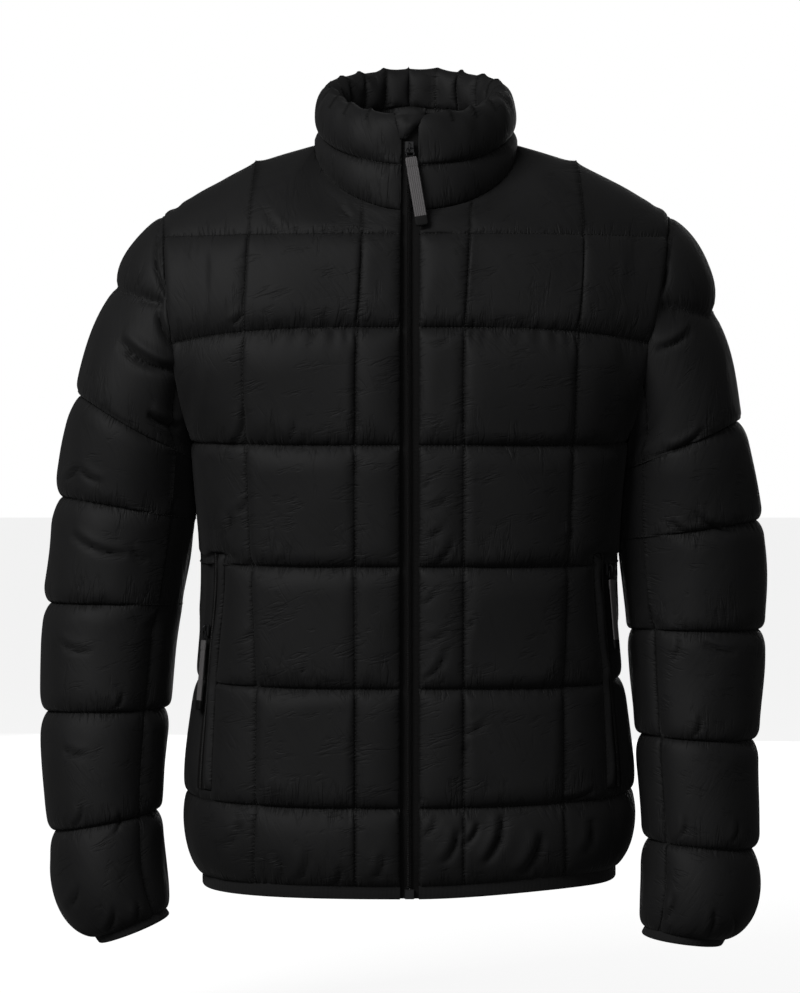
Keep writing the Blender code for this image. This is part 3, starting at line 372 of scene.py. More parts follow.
def across_section(curve, row, corner=None):
    """Points of a level line in even steps between its upright lines."""
    length = lengths_along(curve)
    inner, outer, pocket = np.interp(
        [INNER_LINE, row["outer_line"], row["pocket_line"]], curve[:, 0], length
    )
    corner = inner + (outer - inner) * CORNER_SHARE if corner is None else corner
    stops = [0.0, inner, corner, outer, pocket, length[-1]]
    at = np.interp(column_steps, np.arange(6), stops)
    return np.stack([np.interp(at, length, curve[:, axis]) for axis in range(3)], axis=1)


def torso_quarter(face):
    """Stitch-level surface of the +X half of the front, face -1, or back, face 1, from the hem."""
    knots = [across_section(level_section(row, face), row) for row in TORSO[:-1]]
    curve, corner = top_section(face)
    knots = np.array(knots + [across_section(curve, TORSO[-1], corner)])
    side = rows_through(knots[:ARMPIT_KNOT + 1, -1:], TORSO_CELLS[:ARMPIT_KNOT], TORSO_ENDS,
                        end=unit(np.array([ARMPIT_SPREAD, 0, 1.0])))
    angles = [row["armhole"] for row in TORSO[ARMPIT_KNOT:]]
    turns = [[180.0]] + [
        start + (stop - start) * crowded(cells)[1:]
        for start, stop, cells in zip(angles, angles[1:], TORSO_CELLS[ARMPIT_KNOT:])
    ]
    turns = np.concatenate(turns)
    edge = np.concatenate([side[:, 0], armhole(turns[1:], face)])
    stretch = np.minimum(column_steps.astype(int), 4)
    place = np.array([np.interp(step - k, COLUMN_SHARES[k], COLUMN_PLACES[k])
                      for k, step in zip(stretch, column_steps)])
    over = np.interp(place, (3, 5, 6, 12), (0, 0.6, 1, 1))[:, None]
    neck_heading = unit(unit(knots[-1] - knots[-2]) + np.array([0, 0, NECK_LIFT]))
    end = unit(neck_heading * (1 - over) + np.array([0, -face, SHOULDER_LIFT]) * over)
    grid = rows_through(knots, TORSO_CELLS, TORSO_ENDS, end=end)
    return grid + ((place / 12)[None, :, None] ** 4) * (edge[:, None] - grid[:, -1:])


def facing_out(grids, centres):
    """Unit normals of grids that share seam points, summed over the faces round each point."""
    keys, sums = [], []
    for grid, centre in zip(grids, centres):
        down, across = grid[1:] - grid[:-1], grid[:, 1:] - grid[:, :-1]
        face = np.cross(down[:, :-1] + down[:, 1:], across[:-1] + across[1:])
        if (face * ((grid[1:, 1:] + grid[:-1, :-1]) / 2 - centre)).sum() < 0:
            face = -face
        total = np.zeros_like(grid)
        for row, column in ((0, 0), (0, 1), (1, 0), (1, 1)):
            total[row:row + face.shape[0], column:column + face.shape[1]] += face
        keys.append(grid.reshape(-1, 3))
        sums.append(total.reshape(-1, 3))
    _, index = np.unique(np.round(np.concatenate(keys), 5), axis=0, return_inverse=True)
    index = index.reshape(-1)
    welded = np.zeros((index.max() + 1, 3))
    np.add.at(welded, index, np.concatenate(sums))
    parts = np.split(unit(welded[index]), np.cumsum([len(key) for key in keys])[:-1])
    return [part.reshape(grid.shape) for part, grid in zip(parts, grids)]


def neighbours(field):
    """The sum of each point's four neighbours in a grid, its edges repeated."""
    wide = np.pad(field, [(1, 1), (1, 1)] + [(0, 0)] * (field.ndim - 2), mode="edge")
    return wide[:-2, 1:-1] + wide[2:, 1:-1] + wide[1:-1, :-2] + wide[1:-1, 2:]


def blurred(field, rounds):
    for _ in range(rounds):
        field = (neighbours(field) + 2 * field) / 6
    return field


def uneven(shape, cell, seed):
    """Seeded noise from -1 to 1 with lumps about this many grid cells across."""
    rng = np.random.default_rng(seed)
    coarse = rng.uniform(-1, 1, (shape[0] // cell + 3, shape[1] // cell + 3))
    row = np.arange(shape[0]) / cell
    column = np.arange(shape[1]) / cell
    r, c = row.astype(int)[:, None], column.astype(int)[None]
    fr, fc = smooth(row % 1)[:, None], smooth(column % 1)[None]
    top = coarse[r, c] * (1 - fc) + coarse[r, c + 1] * fc
    low = coarse[r + 1, c] * (1 - fc) + coarse[r + 1, c + 1] * fc
    return top * (1 - fr) + low * fr


def pull(points, first, second, rest, squeeze, share=1.0):
    """Moves pairs of points towards their resting distance, less so where they're too close."""
    a, b = points[first], points[second]
    gap = b - a
    length = np.sqrt((gap * gap).sum(-1)) + 1e-9
    off = 0.5 * share * (1 - rest / length)
    off = np.where(off < 0, off * squeeze, off)
    move = gap * off[..., None]
    a += move
    b -= move


# How the cloth behaves: its lumps are cells across and a share; grain is in millimetres.
SPARE_LUMPS, PUSH_LUMPS, CAP_LUMPS = (11, 0.45), (15, 0.5), (13, 0.17)
PUSH, DROOP, SPEED_KEPT, BENDING, CAP_GRIP = 0.012 * MM, 0.25, 0.92, 0.10, 0.6
START_GRAIN, START_HEIGHT = 1.2, 0.6 * MM
THREAD_SQUEEZE, BIAS_SQUEEZE, BIAS_SHARE = 0.8, 0.5, 0.3
ROUNDS = 260


def blown_up(base, out, held, lift, full, cap, down, across, seed,
             ring=False, line=None, wall=None):
    """Cloth cut larger than its base by the shares down and across, pushed out along its own
    normals and held at its stitches. Each round moves the cloth on, pulls neighbours towards
    their cut distance twice, evens sharp bends by the blur of the blur of its height, and lets
    the down's thickness, cap, stop it rising."""
    rows, columns = base.shape[:2]

    def lumpy(lumps, number):
        return 1 + lumps[1] * uneven((rows, columns), lumps[0], seed + number)

    loose = lumpy(SPARE_LUMPS, 1)
    rest_down = np.linalg.norm(np.diff(base, axis=0), axis=-1) * (1 + (down * loose)[1:])
    rest_across = np.linalg.norm(np.diff(base, axis=1), axis=-1) * (1 + (across * loose)[:, 1:])
    slack = 1 + (down + across)[1:, 1:] / 2
    falling = np.linalg.norm(base[1:, 1:] - base[:-1, :-1], axis=-1) * slack
    rising = np.linalg.norm(base[1:, :-1] - base[:-1, 1:], axis=-1) * slack
    threads, biases = [], []
    for start in (0, 1):
        upper, lower = slice(start, rows - 1, 2), slice(start + 1, rows, 2)
        left, right = slice(start, columns - 1, 2), slice(start + 1, columns, 2)
        threads += [((upper,), (lower,), rest_down[start::2]),
                    ((slice(None), left), (slice(None), right), rest_across[:, start::2])]
        biases += [((upper, slice(0, -1)), (lower, slice(1, None)), falling[start::2]),
                   ((upper, slice(1, None)), (lower, slice(0, -1)), rising[start::2])]
    target = base + out * lift[..., None]
    if wall is not None:
        target = wall(target)
    grain = blurred(np.random.default_rng(seed).normal(0, 1, (rows, columns)), 2)
    points = target + out * (grain * START_GRAIN * MM + START_HEIGHT)[..., None]
    before = points.copy()
    push = full * lumpy(PUSH_LUMPS, 2) * PUSH
    cap = cap * lumpy(CAP_LUMPS, 3)
    for step in range(ROUNDS):
        if step % 4 == 0:
            normal = np.cross(np.gradient(points, axis=0), np.gradient(points, axis=1))
            normal *= np.sign((normal * out).sum()) / np.maximum(
                np.linalg.norm(normal, axis=-1, keepdims=True), 1e-12)
        moved = points + SPEED_KEPT * (points - before) + normal * push[..., None]
        moved[..., 2] -= DROOP * push
        before, points = points, moved
        for _ in range(2):
            for pair in threads:
                pull(points, *pair, THREAD_SQUEEZE)
            points[held] = target[held]
        for pair in biases:
            pull(points, *pair, BIAS_SQUEEZE, BIAS_SHARE)
        bend = points - base
        for _ in range(2):
            bend = bend - neighbours(bend) / 4
        points -= BENDING * bend
        over = ((points - base) * out).sum(-1) - cap
        points -= out * (CAP_GRIP * np.maximum(over, 0))[..., None]
        if line is not None:
            row, column, part, place = line
            part = part[:, None]
            here = points[row, column] * (1 - part) + points[row + 1, column] * part
            short = (place - here) / ((1 - part) ** 2 + part**2)
            points[row, column] += short * (1 - part)
            points[row + 1, column] += short * part
        if ring:
            points[:, 0] = points[:, -1] = (points[:, 0] + points[:, -1]) / 2
        if wall is not None:
            points = wall(points)
        points[held] = target[held]
    return points


def opened(left, right=None):
    """A field of the whole back from its left half, and its right half if that isn't the same."""
    return np.concatenate([(left if right is None else right)[:, :0:-1], left], axis=1)


torso_centre = np.array([0, 0, -0.33])
front_quarter, back_quarter = torso_quarter(-1), torso_quarter(1)
mirror = np.array([-1, 1, 1])
fronts = {1: leaned(front_quarter), -1: leaned((front_quarter * mirror)[:, ::-1])}
back = leaned(opened(back_quarter, back_quarter * mirror))

# Where a sleeve and the side of the body press together: height, then distance from the middle.
PRESSED = {
    1: ((-0.262, 0.2060), (-0.31, 0.2010), (-0.3576, 0.1985), (-0.388, 0.1985), (-0.464, 0.2028),
        (-0.525, 0.2090), (-0.586, 0.2151), (-0.70, 0.2140)),
    -1: ((-0.262, 0.2060), (-0.335, 0.2005), (-0.388, 0.2024), (-0.464, 0.2110),
         (-0.525, 0.2162), (-0.586, 0.2265), (-0.70, 0.2243)),
}
PRESS_FROM, PRESS_TO, PRESS_GAP, SIDE_PRESS = -0.262, -0.46, 0.4 * MM, 8 * MM


def kept_apart(points, sleeve):
    """Holds a panel on its own side of the surfaces where sleeves and body press together."""
    x, z = points[..., 0], points[..., 2]
    way = 1 if sleeve else -1
    for side in (1, -1) if sleeve is None else (sleeve,):
        height, place = np.array(PRESSED[side])[::-1].T
        limit = np.interp(z, height, place) + way * PRESS_GAP
        over = (z < PRESS_FROM) & (way * (side * x - limit) < 0)
        x[over] = side * limit[over]
    return points


def pressed_share(grid):
    """1 between the heights where sleeve and body press together, with soft ends."""
    z = grid[..., 2]
    return smooth((PRESS_FROM - z) / 0.02) * smooth((z - PRESS_TO) / 0.04)


def clear_of_armpit(grid, side=1):
    """0 at the foot of the armhole and 1 a little way from it."""
    gap = np.linalg.norm(grid - [side * ARMPIT[0], 0, ARMPIT[1]], axis=-1)
    return smooth((gap - 0.002) / 0.012)


def places_between(count, lines):
    """Each number's place, 0 to 1, between the lines before and after it."""
    place = np.zeros(count)
    for start, end in zip(lines, lines[1:]):
        place[start:end + 1] = np.linspace(0, 1, end - start + 1)
    return place


def plump(place, power=4.0):
    return 1 - np.abs(2 * place - 1) ** power


def line_places(grid, axis):
    """Mean distance of each line of a grid from its first, along this axis."""
    step = np.linalg.norm(np.diff(grid, axis=axis), axis=-1).mean(axis=1 - axis)
    return np.concatenate([[0.0], np.cumsum(step)])


def from_stitches(grid, row_lines=(0, -1), column_lines=(0, -1), up=1):
    """Each point's distance up from the level stitch line below it, down from the one above it,
    and from the nearest upright one."""
    fields = []
    for axis, lines in ((0, row_lines), (1, column_lines)):
        at = line_places(grid, axis)
        gap = at[:, None] - at[list(lines)][None]
        fields.append([np.where(way * gap >= 0, way * gap, 9.0).min(axis=1) for way in (1, -1)])
    below, above = fields[0][::up]
    beside = np.minimum(*fields[1])
    return np.stack(np.broadcast_arrays(below[:, None], above[:, None], beside[None]), -1)


FOLD_FADE, FOLD_BOW = 4 * MM, 0.10
TROUGH_STEEP, TROUGH_POWER = 1.3, 1.4
RIDGE_HEIGHT, RIDGE_PLACE, RIDGE_WIDTH = 0.45, 1.8, 1.4


def folded(points, out, folds, face=-1):
    """Presses folds into the cloth on one face: along each line it sinks by a bell curve, and it
    stands up beside the line by a lower, wider one. Also gives the distance from the nearest."""
    shift = np.zeros(points.shape[:2])
    nearest = np.full(points.shape[:2], 1.0)
    for x0, z0, x1, z1, wide, deep in np.array(folds) * MM:
        run = np.array([x1 - x0, z1 - z0])
        length = math.hypot(*run)
        gap = points[..., ::2] - (x0, z0)
        t = np.clip(gap @ run / length**2, 0, 1)
        bow = FOLD_BOW * length * np.sin(math.pi * t)
        off = (gap @ np.array([-run[1], run[0]]) / length + bow) / wide
        taper = (4 * t * (1 - t)) ** 0.6
        ridge = RIDGE_HEIGHT * np.exp(-(((off - RIDGE_PLACE) / RIDGE_WIDTH) ** 2))
        shift += deep * taper * (ridge - np.exp(-TROUGH_STEEP * np.abs(off) ** TROUGH_POWER))
        nearest = np.minimum(nearest, 1.5 * np.abs(off) * wide + (1 - taper) * FOLD_FADE)
    on_face = smooth(face * out[..., 1] * 3 - 0.3)
    return points + out * (shift * on_face)[..., None], nearest + (1 - on_face)


def mesh_piece(name, points, faces, finish, uv=None, stitches=None):
    """One object from an array of points, arrays of faces with three or four corners, and for
    each point its place on the cloth and its distance from the stitch lines."""
    mesh = bpy.data.meshes.new(name)
    corners = np.concatenate([part.ravel() for part in faces]).astype(np.int32)
    sizes = np.concatenate([np.full(len(part), part.shape[1]) for part in faces]).astype(np.int32)
    mesh.vertices.add(len(points))
    mesh.vertices.foreach_set("co", np.asarray(points, np.float32).ravel())
    mesh.loops.add(len(corners))
    mesh.loops.foreach_set("vertex_index", corners)
    mesh.polygons.add(len(sizes))
    starts = np.concatenate([[0], np.cumsum(sizes)[:-1]]).astype(np.int32)
    mesh.polygons.foreach_set("loop_start", starts)
    layer = mesh.uv_layers.new(name="cloth")
    uv = np.zeros((len(points), 2)) if uv is None else uv
    layer.data.foreach_set("uv", np.asarray(uv, np.float32)[corners].ravel())
    if stitches is not None:
        layer = mesh.attributes.new("stitches", "FLOAT_VECTOR", "POINT")
        layer.data.foreach_set("vector", np.asarray(stitches, np.float32).ravel())
    mesh.update(calc_edges=True)
    mesh.validate()
    mesh.shade_smooth()
    mesh.set_sharp_from_angle(angle=math.radians(70))
    mesh.materials.append(finish.material)
    piece = bpy.data.objects.new(name, mesh)
    scene.collection.objects.link(piece)
    return piece


def faces_of(number):
    """The four-sided faces of a grid of point numbers."""
    corners = (number[:-1, :-1], number[:-1, 1:], number[1:, 1:], number[1:, :-1])
    return np.stack(corners, -1).reshape(-1, 4)


def cloth_mesh(name, outside, inside, finish, stitches=None):
    """A closed panel: its outside grid, its inside at half that density, and the strips that
    join their edges. UV is the distance across and down the cloth in metres."""
    def both(outer, inner):
        parts = (outer, inner[::2, ::2])
        return np.concatenate([part.reshape(-1, part.shape[-1]) for part in parts])

    top = np.arange(outside[..., 0].size).reshape(outside.shape[:2])
    low = inside[::2, ::2, 0]
    low = top.size + np.arange(low.size).reshape(low.shape)
    quads = np.concatenate([faces_of(top), np.roll(faces_of(low)[:, ::-1], 1, axis=1)])
    strips = []
    for fine, coarse in ((top[0], low[0]), (top[:, -1], low[:, -1]), (top[-1, ::-1], low[-1, ::-1]),
                         (top[::-1, 0], low[::-1, 0])):
        first, middle, last = fine[:-2:2], fine[1::2], fine[2::2]
        before, after = coarse[:-1], coarse[1:]
        strips += [np.stack(corners, -1) for corners in (
            (middle, first, before), (last, middle, after), (after, middle, before))]
    faces = [quads, np.concatenate(strips)]
    corner = outside[:-1, :-1]
    normal = np.cross(outside[1:, :-1] - corner, outside[:-1, 1:] - corner)
    if (normal * (corner - inside[:-1, :-1])).sum() > 0:
        faces = [part[:, ::-1] for part in faces]
    down, across = (line_places(outside, axis) for axis in (0, 1))
    place = np.stack(np.broadcast_arrays(across[None], down[:, None]), -1)
    stitches = from_stitches(outside) if stitches is None else stitches
    return mesh_piece(name, both(outside, inside), faces, finish, both(place, place),
                      both(stitches, stitches))


def dressed(piece, node, body="jacket"):
    """Says which body a piece moves with, and hides the solid it stands for."""
    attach(piece, body)
    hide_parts(node)
    return piece


# Black nylon taffeta: a fine plain weave with a low soft sheen, gathered in short uneven creases
# at right angles to its stitch lines, most of them above a level line, and with painted shade
# that darkens its colour in the stitch grooves and in the cores of the creases.
shell = Finish("shell_nylon")
cloth_place = shell.node("UVMap", {"uv_map": "cloth"})["UV"]
stitch_place = shell.node("Attribute", {"attribute_name": "stitches"})["Vector"]
stitch_place = shell.node("SeparateXYZ", Vector=stitch_place)
above, below, beside = (Number(stitch_place[axis]) for axis in "XYZ")


def cloth_noise(size, turn=0.0, detail=2.0):
    """Noise whose lumps have this size across and down the cloth in metres."""
    lumps = shell.node("Mapping", {"vector_type": "TEXTURE"}, Vector=cloth_place, Scale=(*size, 1),
                       Rotation=(0, 0, turn))["Vector"]
    return shell.noise(lumps, 1.0, detail, Roughness=0.55)


def creases(noise, thin):
    """Thin lines where a noise crosses its middle."""
    return (1 - abs(noise - 0.5) * thin).clamped()


weave = shell.wave(cloth_place, 620.0, "X") * shell.wave(cloth_place, 620.0, "Y")
cloudy = cloth_noise((0.055, 0.055))
gathers = cloth_noise((0.0062, 0.034))
reach = cloth_noise((0.016, 0.060), detail=1.0) ** 4 * 0.24 + 0.002
close = (1 - above.least(below * 2.4) / reach).clamped()
side_gathers = cloth_noise((0.030, 0.0065), 0.25)
side_reach = cloth_noise((0.060, 0.018), detail=1.0) ** 5 * 0.17 + 0.0008
side_close = (1 - beside / side_reach).clamped() * 0.7
slants = cloth_noise((0.011, 0.052), 0.6)
patches = ((cloth_noise((0.060, 0.045), detail=1.0) - 0.52) * 7).clamped()
thin_folds = (creases(gathers, 11) * close + creases(side_gathers, 12) * side_close
              + creases(slants, 16) * patches * 0.25)
height = ((gathers - 0.5) * close * 1.3 + (side_gathers - 0.5) * side_close + (slants - 0.5) * 0.35
          - thin_folds * 0.55)
# Painted shade: the colour darkens within two millimetres of a stitch line, where shade falls in
# the groove.
groove_painted_shade = (1 - (beside * 0.65).least(above.least(below)) / 0.0020).clamped()
tone = shell.mixed(cloudy, (0.0066, 0.0066, 0.0068, 1), (0.0104, 0.0104, 0.0107, 1))
# Painted shade of the stitch grooves and of the thin creases' cores, as one mask.
painted_shade = (groove_painted_shade * 0.85 + thin_folds * 0.5).clamped()
# The near-black colour that this mask mixes into the tone is painted shade.
shell.shade(
    Base_Color=shell.mixed(painted_shade, tone, (0.0008, 0.0008, 0.0008, 1)), Roughness=cloudy * 0.08 + 0.60,
    Normal=shell.bump(height, 0.9, 0.0012, Normal=shell.bump(weave, 0.06, 0.0003)),
    Specular_IOR_Level=0.15, Sheen_Weight=0.03, Sheen_Roughness=0.5,
)

# The plan of a front: which points are stitched, how far each lies above the base surface, and
# how full it is. The strip of the pocket lies flat, and the side under the arm is pressed.
rows, columns = len(front_quarter), TORSO_COLUMNS + 1
row_lines = np.cumsum([0] + TORSO_CELLS).tolist()
stitched = [at for at, row in zip(row_lines, TORSO) if row["stitched"]]
POCKET_ROWS, POCKET_STRIP = (39, 127), (POCKET_COLUMN, POCKET_COLUMN + 15)
POCKET_LIFT, POCKET_SIDE_FULL, SIDE_WIDTH = 0.8 * MM, 0.75, 26
full_rows = np.repeat([row["full"] for row in TORSO[:-1]], TORSO_CELLS)
full_rows = np.append(full_rows, full_rows[-1])
held = np.zeros((rows, columns), bool)
held[stitched] = True
held[:, list(LINE_COLUMNS)] = True
upright = plump(places_between(rows, stitched), 5.0)[:, None]
lift = np.zeros((rows, columns))
lift[:, LINE_COLUMNS[1:3]] = UPRIGHT_LOFT * upright
lift[:, [0, -1]] = EDGE_LOFT * upright
lift[stitched] = 0.0
lift[stitched[-2]] = YOKE_LIFT
side_columns = smooth((np.arange(columns) - LINE_COLUMNS[2]) / SIDE_WIDTH)[None]
lift = np.maximum(lift, SIDE_PRESS * side_columns * pressed_share(front_quarter))
full = full_rows[:, None] * (1 - side_columns * (1 - clear_of_armpit(front_quarter)))
front_full, front_held, front_lift = full.copy(), held.copy(), lift.copy()
pocket_rows = slice(POCKET_ROWS[0], POCKET_ROWS[1] + 1)
pocket_columns = slice(POCKET_STRIP[0], POCKET_STRIP[1] + 1)
front_held[pocket_rows, pocket_columns] = True
front_lift[pocket_rows, pocket_columns] = POCKET_LIFT
front_full[pocket_rows, POCKET_STRIP[1]:] *= POCKET_SIDE_FULL

# ---------------------------------------------------------------- sleeves
# Each sleeve is a wide upper half and a narrow under half, quilted in level baffles that are
# sewn into the armhole; the first line runs over the sleeve's head from armhole to armhole.

SLEEVE_FIELDS = ("name", "cells", "outer_x", "outer_z", "inner_x", "inner_z", "depth", "mid_y")
SLEEVES = {
    1: (
        ("second", 40, 0.3100, -0.250, 0.2080, -0.297, 0.166, 0.000),
        ("third", 42, 0.3290, -0.344, 0.2065, -0.362, 0.150, 0.000),
        ("fourth", 42, 0.3305, -0.447, 0.2140, -0.446, 0.139, -0.006),
        ("fifth", 42, 0.3225, -0.550, 0.2205, -0.545, 0.128, -0.020),
        ("sixth", 32, 0.3205, -0.650, 0.2255, -0.642, 0.116, -0.038),
        ("wrist", 12, 0.3150, -0.716, 0.2225, -0.708, 0.104, -0.050),
        ("cuff", 0, 0.2940, -0.733, 0.2215, -0.723, 0.084, -0.054),
    ),
    -1: (
        ("second", 40, 0.3110, -0.226, 0.2080, -0.287, 0.166, 0.000),
        ("third", 42, 0.3285, -0.322, 0.2105, -0.342, 0.150, 0.000),
        ("fourth", 42, 0.3385, -0.422, 0.2225, -0.422, 0.139, -0.006),
        ("fifth", 42, 0.3395, -0.523, 0.2325, -0.520, 0.128, -0.020),
        ("sixth", 32, 0.3310, -0.634, 0.2385, -0.615, 0.116, -0.038),
        ("wrist", 12, 0.3155, -0.714, 0.2315, -0.692, 0.104, -0.050),
        ("cuff", 0, 0.2920, -0.731, 0.2290, -0.706, 0.084, -0.054),
    ),
}
HEAD_CELLS = 56
HEAD_OUT, HEAD_DOWN, HEAD_PULL = 0.86, -0.51, 0.8
FIRST_LINE_SHARE, FIRST_LINE_END, FIRST_LINE_FADE = {1: 0.50, -1: 0.44}, 101, 3.2
HEAD_SINK, HEAD_SINK_WIDTH, HEAD_CAP_REACH, HEAD_CAP_LEAST = 2.2 * MM, 4 * MM, 0.020, 0.12
SEAM_COLUMNS, SLEEVE_COLUMNS = (27, 189), 216
SIDE_NAME = {1: "left", -1: "right"}
SLEEVE_CAP, TORSO_CAP = 7.5 * MM, 9.0 * MM


def sleeve_surface(side, loop):
    """Stitch-level surface of a sleeve: rings from the armhole down to the cuff, each an ellipse
    through its outer and inner end, columns starting under the arm."""
    turn = np.linspace(math.pi, -math.pi, len(loop))
    knots = [loop]
    for row in (dict(zip(SLEEVE_FIELDS, row)) for row in SLEEVES[side]):
        outer = np.array([side * row["outer_x"], row["mid_y"], row["outer_z"]])
        inner = np.array([side * row["inner_x"], row["mid_y"], row["inner_z"]])
        width = np.outer(np.sin(turn), [0, -row["depth"] / 2, 0])
        knots.append((outer + inner) / 2 + (outer - inner) / 2 * np.cos(turn)[:, None] + width)
    top_share = ((1 + np.cos(turn)) / 2)[:, None]
    heading = unit(np.array([side * HEAD_OUT, 0, HEAD_DOWN]) * top_share
                   + np.array([side * ARMPIT_SPREAD, 0, -1.0]) * (1 - top_share))
    heading = heading * (1 - (1 - HEAD_PULL) * top_share)
    cells = [HEAD_CELLS] + [row[1] for row in SLEEVES[side][:-1]]
    return rows_through(np.array(knots), cells, [(1, 1)] * 5 + [(1, 0), (0, 1)], start=heading)


# The armhole's points run from the armpit up the front, over the shoulder and down the back.
turns = np.interp(np.linspace(0, 12, SLEEVE_COLUMNS // 2 + 1), (0, 4, 8, 12), (180, 101, 42, 0))
sleeves = {}
for side in (1, -1):
    loop = np.concatenate([armhole(turns, -1), armhole(turns, 1)[-2::-1]]) * (side, 1, 1)
    sleeves[side] = sleeve_surface(side, leaned(loop))
sleeve_lines = np.cumsum([0, HEAD_CELLS] + [row[1] for row in SLEEVES[1][:-1]]).tolist()
sleeve_lines.pop(-2)

surfaces = {"front_left": fronts[1], "front_right": fronts[-1], "back": back,
            "sleeve_left": sleeves[1], "sleeve_right": sleeves[-1]}
centres = [torso_centre] * 3 + [sleeves[side].reshape(-1, 3).mean(axis=0) for side in (1, -1)]
outs = dict(zip(surfaces, facing_out(list(surfaces.values()), centres)))


def first_line(side, along):
    """Where the line over the sleeve's head runs: its share of the way down each column, which
    falls off to nothing at both ends, and its columns, rows and place between two rows."""
    turn = np.abs(np.linspace(180, -180, along.shape[1]))
    share = FIRST_LINE_SHARE[side] * np.clip(1 - (turn / FIRST_LINE_END) ** FIRST_LINE_FADE, 0, 1)
    live = np.flatnonzero(share > 0.06)
    row = (along[:, live] <= share[live]).sum(axis=0) - 1
    part = (share[live] - along[row, live]) / (along[row + 1, live] - along[row, live])
    return np.where(share > 0.06, share, np.nan), row, live, part


def sleeve_plan(side):
    """Fullness, held points, lift, the head's line, ceiling, and distances from the stitches."""
    grid = sleeves[side]
    turn = np.abs(np.linspace(180, -180, grid.shape[1]))
    under = smooth((turn - 80) / 50)[None]
    full = 1 - under * (1 - clear_of_armpit(grid, side))
    held = np.zeros(grid.shape[:2], bool)
    held[sleeve_lines] = True
    held[:, list(SEAM_COLUMNS)] = True
    upright = plump(places_between(len(grid), sleeve_lines), 5.0)[:, None]
    lift = np.zeros(grid.shape[:2])
    lift[:, list(SEAM_COLUMNS)] = UPRIGHT_LOFT * 0.8 * upright
    lift[:HEAD_CELLS] = 0.0
    lift = np.maximum(lift, SIDE_PRESS * under * pressed_share(grid))
    steps = np.linalg.norm(np.diff(grid[:HEAD_CELLS + 1], axis=0), axis=-1)
    along = np.concatenate([np.zeros((1, grid.shape[1])), np.cumsum(steps, axis=0)])
    along = along / along[-1]
    share, row, live, part = first_line(side, along)
    past_line = (along - share) * steps.sum(axis=0)
    cap = np.ones(grid.shape[:2])
    gap = np.nan_to_num(np.abs(past_line), nan=1.0)
    cap[:HEAD_CELLS + 1] = np.minimum(1, HEAD_CAP_LEAST + gap / HEAD_CAP_REACH)
    cap[:HEAD_CELLS // 2] *= np.linspace(0.45, 1, HEAD_CELLS // 2)[:, None]
    stitches = from_stitches(grid, sleeve_lines, SEAM_COLUMNS, -1)
    for field, gap in ((0, -past_line), (1, past_line)):
        head = stitches[:HEAD_CELLS + 1, :, field]
        nearer = (np.nan_to_num(gap, nan=-1.0) >= 0) & (np.nan_to_num(gap, nan=1.0) < head)
        head[nearer] = gap[nearer]
    place = grid[row, live] * (1 - part)[:, None] + grid[row + 1, live] * part[:, None]
    return full, held, lift, (row, live, part, place), side, SLEEVE_CAP * full * cap, stitches


back_held = opened(held)
back_held[:, TORSO_COLUMNS] = False
back_held[stitched] = True
back_full = opened(full)
plans = {
    "front_left": (front_full, front_held, front_lift, None, None, TORSO_CAP * front_full),
    "front_right": (front_full[:, ::-1], front_held[:, ::-1], front_lift[:, ::-1], None, None,
                    TORSO_CAP * front_full[:, ::-1]),
    "back": (back_full, back_held, opened(lift), None, None, TORSO_CAP * back_full),
    "sleeve_left": sleeve_plan(1),
    "sleeve_right": sleeve_plan(-1),
}


def filled(name):
    """One panel's cloth, blown up and held to its stitches; it is cut larger where it is fuller,
    but hardly so across the sleeve's head, and little in the yoke."""
    full, held, lift, line, side, cap = plans[name][:6]
    spare = np.minimum(full, 1.0) ** 0.5
    if side is None:
        spare[row_lines[-2]:] *= 0.25
        down, across = 0.030 * spare, 0.050 * spare
    else:
        down, across = 0.026 * spare, 0.085 * spare
        down[:HEAD_CELLS] *= 1.2
        across[:HEAD_CELLS] = 0.004
    seed = 40 + len(name) + (side or 0) * 3
    return blown_up(surfaces[name], outs[name], held, lift, full, cap, down, across, seed,
                    side is not None, line, lambda points: kept_apart(points, side))


with ThreadPoolExecutor(4) as pool:
    cloths = dict(zip(plans, pool.map(filled, plans)))

